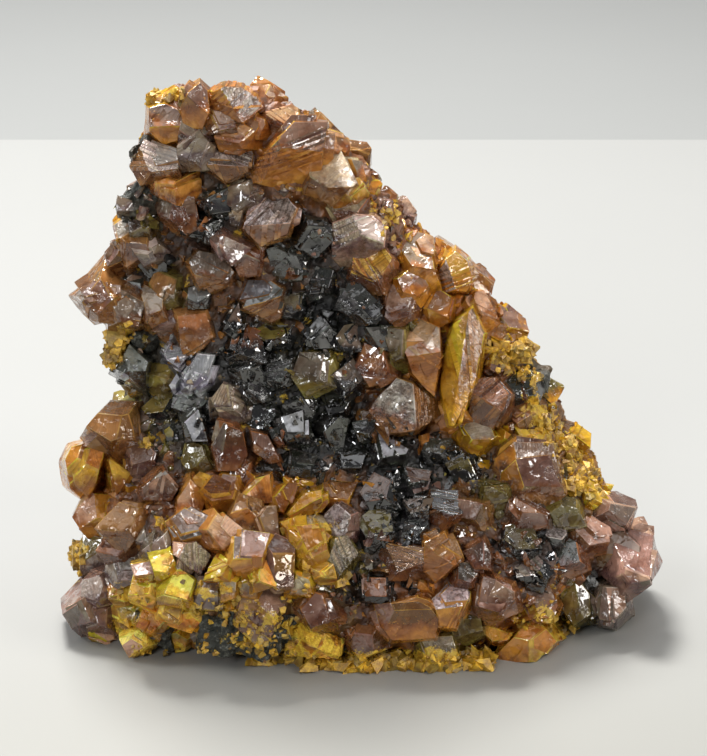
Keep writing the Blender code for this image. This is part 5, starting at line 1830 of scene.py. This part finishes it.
    def put(self, crystal: Crystal, chamfer: float = 0.0) -> Solid | None:
        """Adds a crystal to the mesh.

        Args:
            crystal: The crystal.
            chamfer: The width of its edges' narrow faces, or 0 for sharp edges.

        Returns:
            Its solid, in its own axes.
        """
        solid = crystal.solid()
        if solid is None:
            return None
        tints = [self.tint(tone) for tone in crystal.tones]
        if chamfer > 0:
            solid, tints = self.chamfered(crystal, solid, tints, chamfer)
        start = np.array([self.looks.uniform(-40, 40) for _ in range(3)])
        extra = len(tints) - len(crystal.tones)
        slots = [tone.clarity.value for tone in crystal.tones] + [crystal.body.clarity.value] * extra
        lines = [1.0 if lined else self.looks.choice(self.faint_lines) for lined in crystal.lined]
        body = (*crystal.body.colour, 1.0)
        self.maker.put(solid, crystal.turn, crystal.middle, tints, slots, start, body, lines + [0.0] * extra)
        return solid

    def chamfered(
        self, crystal: Crystal, solid: Solid, tints: list[Tint], width: float
    ) -> tuple[Solid, list[Tint]]:
        """The crystal's solid with a narrow face along each sharp edge.

        Args:
            crystal: The crystal.
            solid: Its solid with sharp edges.
            tints: The tints of its planes.
            width: The narrow faces' width.

        Returns:
            The new solid and the tints with those of the narrow faces added.
        """
        rims = [(plane, set(rim)) for plane, rim in solid.faces]
        ways, offsets, extra = [crystal.ways], [crystal.offsets], []
        for (i, first), (j, second) in combinations(rims, 2):
            shared = list(first & second)
            turn = float(crystal.ways[i] @ crystal.ways[j])
            if len(shared) < 2 or turn > self.flat_edge:
                continue
            way = crystal.ways[i] + crystal.ways[j]
            way = way / np.linalg.norm(way)
            along = solid.corners[shared].mean(axis=0)
            ways.append(way[None])
            inward = width * self.looks.uniform(0.5, 1.5) * 0.5
            offsets.append(np.array([float(way @ along) - inward]))
            lighter = crystal.tones[i] if self.looks.random() < 0.5 else crystal.tones[j]
            extra.append(self.tint(lighter, edge=True))
        if not extra:
            return solid, tints
        cut = Solid.inside(np.vstack(ways), np.concatenate(offsets))
        return (cut, [*tints, *extra]) if cut else (solid, tints)

    def dress(self, crystal: Crystal, main: bool) -> None:
        """Adds a crystal with its parallel neighbours and its growth lines.

        Args:
            crystal: The crystal.
            main: Whether it is one of the larger crystals, not a fine one sown between them.
        """
        draw = self.looks
        if main:
            self.maker = self.makers[Zone.of(crystal.middle)]
        # The painted light and shade that the spots give this crystal.
        self.shade = 1.0
        (u, w), = on_sighting_plane(crystal.middle[None])
        for across, up, reach, much in PAINTED_LIGHT_SPOTS:
            self.shade *= 1 + (much - 1) * exp(-(((u - across) ** 2 + (w - up) ** 2) / reach**2))
        chamfer = draw.uniform(*self.chamfer) if crystal.size > self.worn_from else 0.0
        solid = self.put(crystal, chamfer)
        if solid is None or crystal.size < self.joined_from:
            return
        for _ in range(draw.choice(self.steps if main else self.fine_steps)):
            turn, scale = draw.uniform(0, 2 * pi), draw.uniform(*self.step_scale)
            reach = crystal.size / 2 * (1 - scale) + draw.uniform(*self.step_out)
            shift = np.array([cos(turn) * reach, sin(turn) * reach, draw.uniform(*self.step_rise)])
            self.put(crystal.beside(scale, shift, self.twist()), chamfer * self.step_worn)
        for index, lined in enumerate(crystal.lined):
            if lined:
                self.grow_lines(crystal, solid, index, draw.randint(*self.plates))
        if main and draw.random() < self.few_share:
            face = draw.randrange(len(crystal.tones) - 3)
            self.grow_lines(crystal, solid, face, draw.randint(*self.few_plates))

    def twist(self) -> Array:
        """A small turn, at most the slant between crystals that grow side by side."""
        angles = [radians(self.looks.gauss(0, self.slant)) for _ in range(3)]
        return np.array(Euler(angles).to_matrix())

    def grow_lines(self, crystal: Crystal, solid: Solid, index: int, count: int) -> None:
        """Adds thin plates that stand proud across one face.

        Args:
            crystal: The crystal.
            solid: Its solid.
            index: The face's plane.
            count: How many plates.
        """
        draw = self.looks
        rim = next((rim for plane, rim in solid.faces if plane == index), None)
        if rim is None:
            return
        way = crystal.ways[index]
        along = np.cross(way, np.array((cos(index * 2.1), sin(index * 2.1), 0.3)))
        across = np.cross(way, along / np.linalg.norm(along))
        reach = solid.corners[rim] @ across
        low, high = float(reach.min()), float(reach.max())
        for _ in range(count):
            wide = draw.uniform(*self.plate_wide) * (high - low)
            start = draw.uniform(low, high - wide)
            self.put(crystal.plate(across, start, start + wide, draw.uniform(*self.plate_proud)))

    def sow(self, start: Vector, way: Vector, size: Pair, highest: float) -> int:
        """Sets a small crystal where a ray meets the specimen as it is so far.

        Args:
            start: Where the ray starts.
            way: The way it goes.
            size: The smallest and largest size.
            highest: The highest place where one may stand.

        Returns:
            How many crystals were added, 0 or 1.
        """
        self.rays += 1
        draw = self.looks = self.draw = Random(SEED * 100000 + self.rays)
        place, normal, face, _ = self.seen.ray_cast(start, way)
        if place is None or not 1 < place.z < highest or place.y > self.sown_back:
            return 0
        kind = Ground(self.owners[face])
        if draw.random() > self.sown[kind.value]:
            return 0
        if kind is Ground.CRYSTAL and self.spots[self.near.find(place)[1]].tone.clarity is not Clarity.DARK:
            return 0
        half = draw.uniform(*size) / 2 * draw.uniform(0.3, 1.0 if kind is Ground.CRUST else 0.6)
        half *= 0.5 + 0.5 * abs(normal.dot(way))
        code = draw.choice(self.rock_codes) if kind is Ground.ROCK else self.near_code(place)
        turn = axes(normal * 0.6 - way * 0.6 + stray(draw, self.fine_lean), stray(draw, 1))
        planes = self.shard((half, half * draw.uniform(*self.fine_squash)))
        middle = place - normal * (half * 0.5 + 0.1)
        self.dress(self.crystal(planes, code, turn, middle, 1.0 + half, half * 2), False)
        return 1

    def build_finest(self, *grounds: list[Object]) -> Object:
        """Builds the small crystals between the others, on the crust and on the bare rock.

        Args:
            *grounds: The pieces of each kind of ground, in their order.

        Returns:
            The piece.
        """
        self.seen, self.owners = tree_of(*grounds)
        draw = Random(SEED + 4)
        self.maker = MeshMaker()
        added = 0
        for across in np.arange(-48, 49, self.sight_step):
            for up in np.arange(-2, 95, self.sight_step):
                u, w = across + draw.uniform(-0.6, 0.6), up + draw.uniform(-0.6, 0.6)
                added += self.sow(EYE, sight_line(u, w), self.finest, self.highest)
        for way in self.side_ways:
            ahead = Vector(way).normalized()
            side = ahead.cross(Vector((0, 1, 0.3))).normalized()
            rise = side.cross(ahead)
            for x in np.arange(-56, 57, self.side_step):
                for y in np.arange(-56, 57, self.side_step):
                    start = TARGET - ahead * 200
                    start += side * (x + draw.uniform(-1, 1))
                    start += rise * (y + draw.uniform(-1, 1))
                    added += self.sow(start, ahead, self.side_finest, self.highest_sown)
        log.info("%d fine crystals", added)
        return self.finish_piece("fine_crystals", self.maker)

    def map_tones(self) -> None:
        """Makes the map of which tones grow where."""
        self.near = KDTree(len(self.spots))
        for index, spot in enumerate(self.spots):
            self.near.insert(spot.middle, index)
        self.near.balance()

    def build(self, draw: Random) -> list[Object]:
        """Builds and dresses the larger crystals.

        Args:
            draw: Where the chances of the main shapes come from.

        Returns:
            The pieces, one for each part of the cover.
        """
        self.draw = draw
        grown = [self.large(entry) for entry in LARGE]
        grown += [self.small(row) for row in SMALL]
        taken = [(Vector(c.middle), self.clear) for c in grown]
        for across, up, width, height, out in NODULES:
            place, _, _, _ = self.meet(across, up)
            spot = place - sight_line(across, up) * out
            planes = lump_planes((width, (width + height) / 2 + 2, height), self.rock.lump_faces, draw)
            self.nodules.append((spot, planes))
            taken.append((spot, width / 2))
        for crystal in grown:
            faces = [t for t in crystal.tones if t != crystal.body]
            self.spots.append(Spot(Vector(crystal.middle), crystal.body, faces[0] if faces else crystal.body))
        self.map_tones()
        grown += self.fill(taken)
        self.draw = Random(SEED + 2)
        grown += [self.small(row) for row in FINER]
        for crystal in grown:
            self.dress(crystal, True)
        return [self.finish_piece(zone.value, maker) for zone, maker in self.makers.items()]

    def finish_piece(self, name: str, maker: MeshMaker) -> Object:
        """Makes a piece of what a mesh maker holds.

        Args:
            name: The piece's name.
            maker: The mesh maker.

        Returns:
            The piece.
        """
        piece = maker.make(name, self.materials, self.longest, self.bend)
        dust_over(piece)
        settle(piece, CRYSTAL_NODE)
        return piece


@dataclass
class Crust:
    """The crust of massive orpiment that the crystals grow from, over the rock's front and sides."""

    cover: CrystalCover
    # How far back it runs at the base, and how much that changes with height.
    back: Pair = (14.0, -0.09)
    stray: float = 2.5
    pitch: float = 9.0
    grain: float = 0.62
    waves: tuple[Pair, ...] = ((6.0, 0.4), (1.2, 0.12))
    facets: tuple[Pair, ...] = ((3.6, 1.7), (1.7, 0.7))
    thickness: float = 2.1
    # How many crystals a place takes its colour from, how soon they count less with distance, and how much
    # darker it is: painted shade between the crystals, and in part the dark tone of the massive orpiment.
    neighbours: int = 4
    blend: float = 0.6
    shade: float = 0.45
    finish: CrustFinish = field(default_factory=CrustFinish)

    def behind(self) -> Object:
        """A block that fills the space behind the crust's uneven back edge.

        Returns:
            The block.
        """
        bm = bmesh.new()
        made = bmesh.ops.create_grid(bm, x_segments=14, y_segments=14, size=70)
        for v in made["verts"]:
            height = v.co.y + 45
            depth = self.back[0] + self.back[1] * height
            place = Vector((v.co.x, 0, height)) / self.pitch
            v.co = Vector((v.co.x, depth + self.stray * noise.noise(place), height))
        far = bmesh.ops.extrude_face_region(bm, geom=bm.faces[:])["geom"]
        for v in far:
            if isinstance(v, BMVert):
                v.co.y = 80
        bmesh.ops.recalc_face_normals(bm, faces=bm.faces)
        return object_of("behind", bm)

    def build(self, dust: YellowDust) -> Object:
        """Builds and dresses the crust.

        Args:
            dust: The effect of the yellow dust.

        Returns:
            The crust.
        """
        skin = self.cover.rock.skin(self.thickness)
        whole = combine("crust", object_of("crust", skin), [self.behind()], "DIFFERENCE")
        piece = remeshed("orpiment_crust", whole, self.grain)
        points = roughen(piece.data, self.waves, self.facets)
        tints = np.empty((len(points), 4), dtype=np.float32)
        for index, point in enumerate(points):
            total = np.zeros(3)
            weight = 0.0
            for _, spot, distance in self.cover.near.find_n(Vector(point), self.neighbours):
                share = 1 / (self.blend + distance)
                total += np.array(self.cover.spots[spot].tone.colour) * share
                weight += share
            # The tint is darkened by shade, which is painted shade between the crystals and in part the
            # crust's own dark tone.
            tints[index] = (*(total / weight * self.shade), 1.0)
        note(piece.data, "tint", "FLOAT_COLOR", "POINT", tints)
        piece.data.materials.clear()
        piece.data.materials.append(self.finish.make(dust))
        settle(piece, CRYSTAL_NODE)
        return piece


@dataclass
class YellowRim:
    """The granular yellow orpiment along the crust's edges: rounded lumps with grains all over."""

    cover: CrystalCover
    # Where grains lie on what the specimen rests on: from, to, lowest and highest on the sighting
    # plane, and how many.
    feet: Rows = (
        (-17, -8, 1, 3, 90), (-8, 8, 0, 2.2, 220), (6, 21, 0.1, 2.2, 190),
    )
    foot_grain: Pair = (0.6, 1.7)
    band_grain: Pair = (0.3, 1.1)
    grains: int = 52
    grain_size: Pair = (0.4, 1.35)
    # How much lighter or darker one grain is than another.
    light: Pair = (0.75, 1.15)
    # How much of a lump's size its bare core keeps.
    core: float = 0.8
    lowest_band: float = 0.8
    longest: float = 2.0
    bend: float = 0.1
    yellow: Colour = (0.85, 0.52, 0.025)
    olive: Colour = (0.34, 0.24, 0.035)
    finish: RimFinish = field(default_factory=RimFinish)

    def __post_init__(self) -> None:
        """Starts the rim's own draw and its mesh."""
        self.draw = Random(SEED + 3)
        self.maker = MeshMaker()

    def build(self, tree: BVHTree) -> Object:
        """Builds and dresses the rim.

        Args:
            tree: The search tree of what the grains lie on.

        Returns:
            The rim.
        """
        for spot, planes in self.cover.nodules:
            self.nodule(spot, *as_arrays(planes))
        for across, up, to_across, to_up, _, _, spread, count in BANDS:
            for _ in range(count):
                share = self.draw.random()
                u = across + (to_across - across) * share + self.draw.gauss(0, spread)
                w = up + (to_up - up) * share + self.draw.gauss(0, spread)
                place = tree.ray_cast(EYE, sight_line(u, w))[0]
                if place is not None and place.z > self.lowest_band:
                    size = self.draw.uniform(*self.band_grain)
                    self.grain((size, size * 0.6, size * self.draw.uniform(0.4, 1.6)), place)
        for across, until, low, high, count in self.feet:
            for _ in range(count):
                ahead = sight_line(self.draw.uniform(across, until), self.draw.uniform(low, high))
                size = self.draw.uniform(*self.foot_grain)
                place = EYE + ahead * ((EYE.z - size * 0.4) / -ahead.z)
                span = (size * self.draw.uniform(0.7, 1.8), size, size * self.draw.uniform(0.5, 1.1))
                self.grain(span, place, 6, 0.0)
        piece = self.maker.make("yellow_rim", [self.finish.make()], self.longest, self.bend)
        settle(piece, CRYSTAL_NODE)
        return piece

    def nodule(self, spot: Vector, ways: Array, offsets: Array) -> None:
        """Adds a rounded lump with grains all over.

        Args:
            spot: Its middle.
            ways: The ways out of its faces.
            offsets: Their distances.
        """
        self.put(ways, offsets * self.core, np.eye(3), spot)
        for _ in range(self.grains):
            way = (Vector(ways[self.draw.randrange(len(ways))]) + stray(self.draw, 0.5)).normalized()
            reach = min(offsets[i] / max(0.05, float(ways[i] @ np.array(way))) for i in range(len(ways)))
            size = self.draw.uniform(*self.grain_size)
            self.grain((size, size * 0.7, size * self.draw.uniform(0.5, 1.5)), spot + way * reach * self.core)

    def grain(self, span: Span, spot: Vector, faces: int = 7, lowest: float = 0.05) -> None:
        """Adds a grain of this span that is turned at random."""
        ways, offsets = as_arrays(lump_planes(span, faces, self.draw))
        self.put(ways, offsets, turned(self.draw), spot, lowest)

    def put(
        self, ways: Array, offsets: Array, turn: Array, spot: Vector, lowest: float = 0.05
    ) -> None:
        """Adds a lump or a grain, of one colour between the rim's two.

        Args:
            ways: The ways out of its faces.
            offsets: Their distances.
            turn: Its axes.
            spot: Its middle.
            lowest: How low it may reach, or 0 for as low as it likes.
        """
        solid = Solid.inside(ways, offsets)
        if solid is None or (lowest > 0 and spot.z + solid.corners[:, 2].min() < lowest):
            return
        share = self.draw.random() ** 2
        light = self.draw.uniform(*self.light)
        colour = [(y * (1 - share) + o * share) * light for y, o in zip(self.yellow, self.olive)]
        tints = [(*colour, 0.5)] * len(ways)
        self.maker.put(solid, turn, np.array(spot), tints, [0] * len(ways), np.array(spot))


@dataclass(frozen=True)
class Lamp:
    """A soft square lamp that looks at the specimen, in metres and watts."""

    name: str
    spot: Span
    size: float
    power: float
    colour: Colour

    def hang(self) -> None:
        """Hangs the lamp."""
        lamp = bpy.data.lights.new(self.name, "AREA")
        lamp.shape, lamp.size, lamp.energy, lamp.color = "SQUARE", self.size, self.power, self.colour
        hung = placed(self.name, lamp)
        hung.location = self.spot
        hung.rotation_euler = (TARGET * MM - Vector(self.spot)).to_track_quat("-Z", "Y").to_euler()


@dataclass
class Studio:
    """A pale table, soft light from above, and the camera."""

    table: Colour = (0.365, 0.365, 0.352)
    beyond: Colour = (0.30, 0.304, 0.296)
    room_front: Colour = (0.07, 0.07, 0.072)
    room_back: Colour = (0.26, 0.265, 0.27)
    wall: Colour = (0.16, 0.162, 0.168)
    ceiling: Colour = (1.4, 1.41, 1.45)
    ceiling_way: Span = (-0.15, 0.18, 0.97)
    edge: float = 0.289
    # The table's darkening towards the front, where it runs from and to in metres, and its tone: painted
    # shade, as less light falls towards the front.
    worn: Pair = (-0.07, 0.03)
    front_shade_tone: Colour = (0.84, 0.83, 0.79)
    clouded: float = 0.965
    table_roughness: float = 0.45
    reach: float = 4.0
    distance_per_pixel: float = 0.16
    frame_high: int = 756
    sensor: float = 36.0
    lamps: tuple[Lamp, ...] = (
        Lamp("overhead", (-0.13, 0.32, 0.68), 0.22, 9.2, (1.0, 0.99, 0.97)),
        Lamp("lamp", (0.60, -0.30, 0.38), 0.26, 2.8, (1.0, 0.97, 0.93)),
        Lamp("window", (-0.75, 0.10, 0.55), 0.22, 2.4, (0.95, 0.98, 1.0)),
        Lamp("side_window", (-0.35, -0.75, 0.50), 0.20, 2.3, (0.97, 0.98, 1.0)),
    )

    def floor(self) -> None:
        """Makes the table, with painted shade that darkens it to the front, and the paler floor beyond its
        far edge.
        """
        for name, low, high, colour in (
            ("table", -self.reach, self.edge, self.table),
            ("floor_beyond", self.edge, self.reach, self.beyond),
        ):
            mesh = bpy.data.meshes.new(name)
            corners = [(x, y, 0) for x, y in (
                (-self.reach, low), (self.reach, low), (self.reach, high), (-self.reach, high)
            )]
            mesh.from_pydata(corners, [], [(0, 1, 2, 3)])
            coat = Coat(name)
            place = coat.add("ShaderNodeTexCoord").outputs["Object"]
            darker = tuple(c * self.clouded for c in colour)
            clouded = coat.mix(coat.noise(place, 14.0, 4.0, 0.6), darker, colour)
            depth = coat.add("ShaderNodeSeparateXYZ", {0: place}).outputs["Y"]
            front_shaded = coat.mix(coat.step(depth, *self.worn), coat.shaded(clouded, self.front_shade_tone), clouded)
            mesh.materials.append(coat.finish(Base_Color=front_shaded, Roughness=self.table_roughness))
            placed(name, mesh)

    def room(self) -> None:
        """Makes the room's light: bright above, dim to the front."""
        world = bpy.data.worlds.new("room")
        bpy.context.scene.world = world
        world.use_nodes = True
        wires = Wires(world.node_tree)
        ahead = wires.add("ShaderNodeTexCoord").outputs["Generated"]
        split = wires.add("ShaderNodeSeparateXYZ", {0: ahead}).outputs
        behind = wires.step(split["Y"], -0.9, 0.6)
        low = wires.mix(behind, self.room_front, self.room_back)
        side = wires.mix(wires.step(split["Z"], 0.2, 0.6), low, self.wall)
        toward = wires.vector("DOT_PRODUCT", ahead, self.ceiling_way)
        sky = wires.mix(wires.step(toward, 0.78, 0.9), side, self.ceiling)
        wires.put_all(world.node_tree.nodes["Background"].inputs, {"Color": sky})

    def camera(self) -> None:
        """Sets up the camera."""
        lens = bpy.data.cameras.new("camera")
        lens.sensor_width = self.sensor
        spread = self.distance_per_pixel * self.frame_high
        lens.lens = (TARGET - EYE).length * self.sensor / spread
        lens.clip_start, lens.clip_end = 0.01, 20.0
        eye = placed("camera", lens)
        eye.location = EYE * MM
        eye.rotation_euler = (TARGET - EYE).to_track_quat("-Z", "Y").to_euler()
        bpy.context.scene.camera = eye

    def build(self) -> None:
        """Builds the whole studio."""
        self.floor()
        self.room()
        for lamp in self.lamps:
            lamp.hang()
        self.camera()
        bpy.context.scene.view_settings.view_transform = "Standard"


def main() -> None:
    """Builds the specimen and the studio, and logs each piece's triangles."""
    logging.basicConfig(level=logging.INFO, format="%(name)s: %(message)s")
    # Without a seed, noise_vector takes its offsets from the clock.
    noise.seed_set(SEED)
    Studio().build()
    draw = Random(SEED)
    rock = HostRock()
    seeds = [draw.random() for _ in rock.lumps]
    growth, dust = CrystalGrowthAndPaintedLight(), YellowDust()
    stone = rock.build(seeds, dust)
    materials = [CRYSTAL_FINISHES[clarity].make(growth, dust) for clarity in Clarity]
    cover = CrystalCover(rock, materials)
    crystals = cover.build(draw)
    crust = Crust(cover).build(dust)
    finest = cover.build_finest(crystals, [crust], [stone])
    YellowRim(cover).build(tree_of([*crystals, crust, stone, finest])[0])
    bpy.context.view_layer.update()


if __name__ == "__main__":
    main()
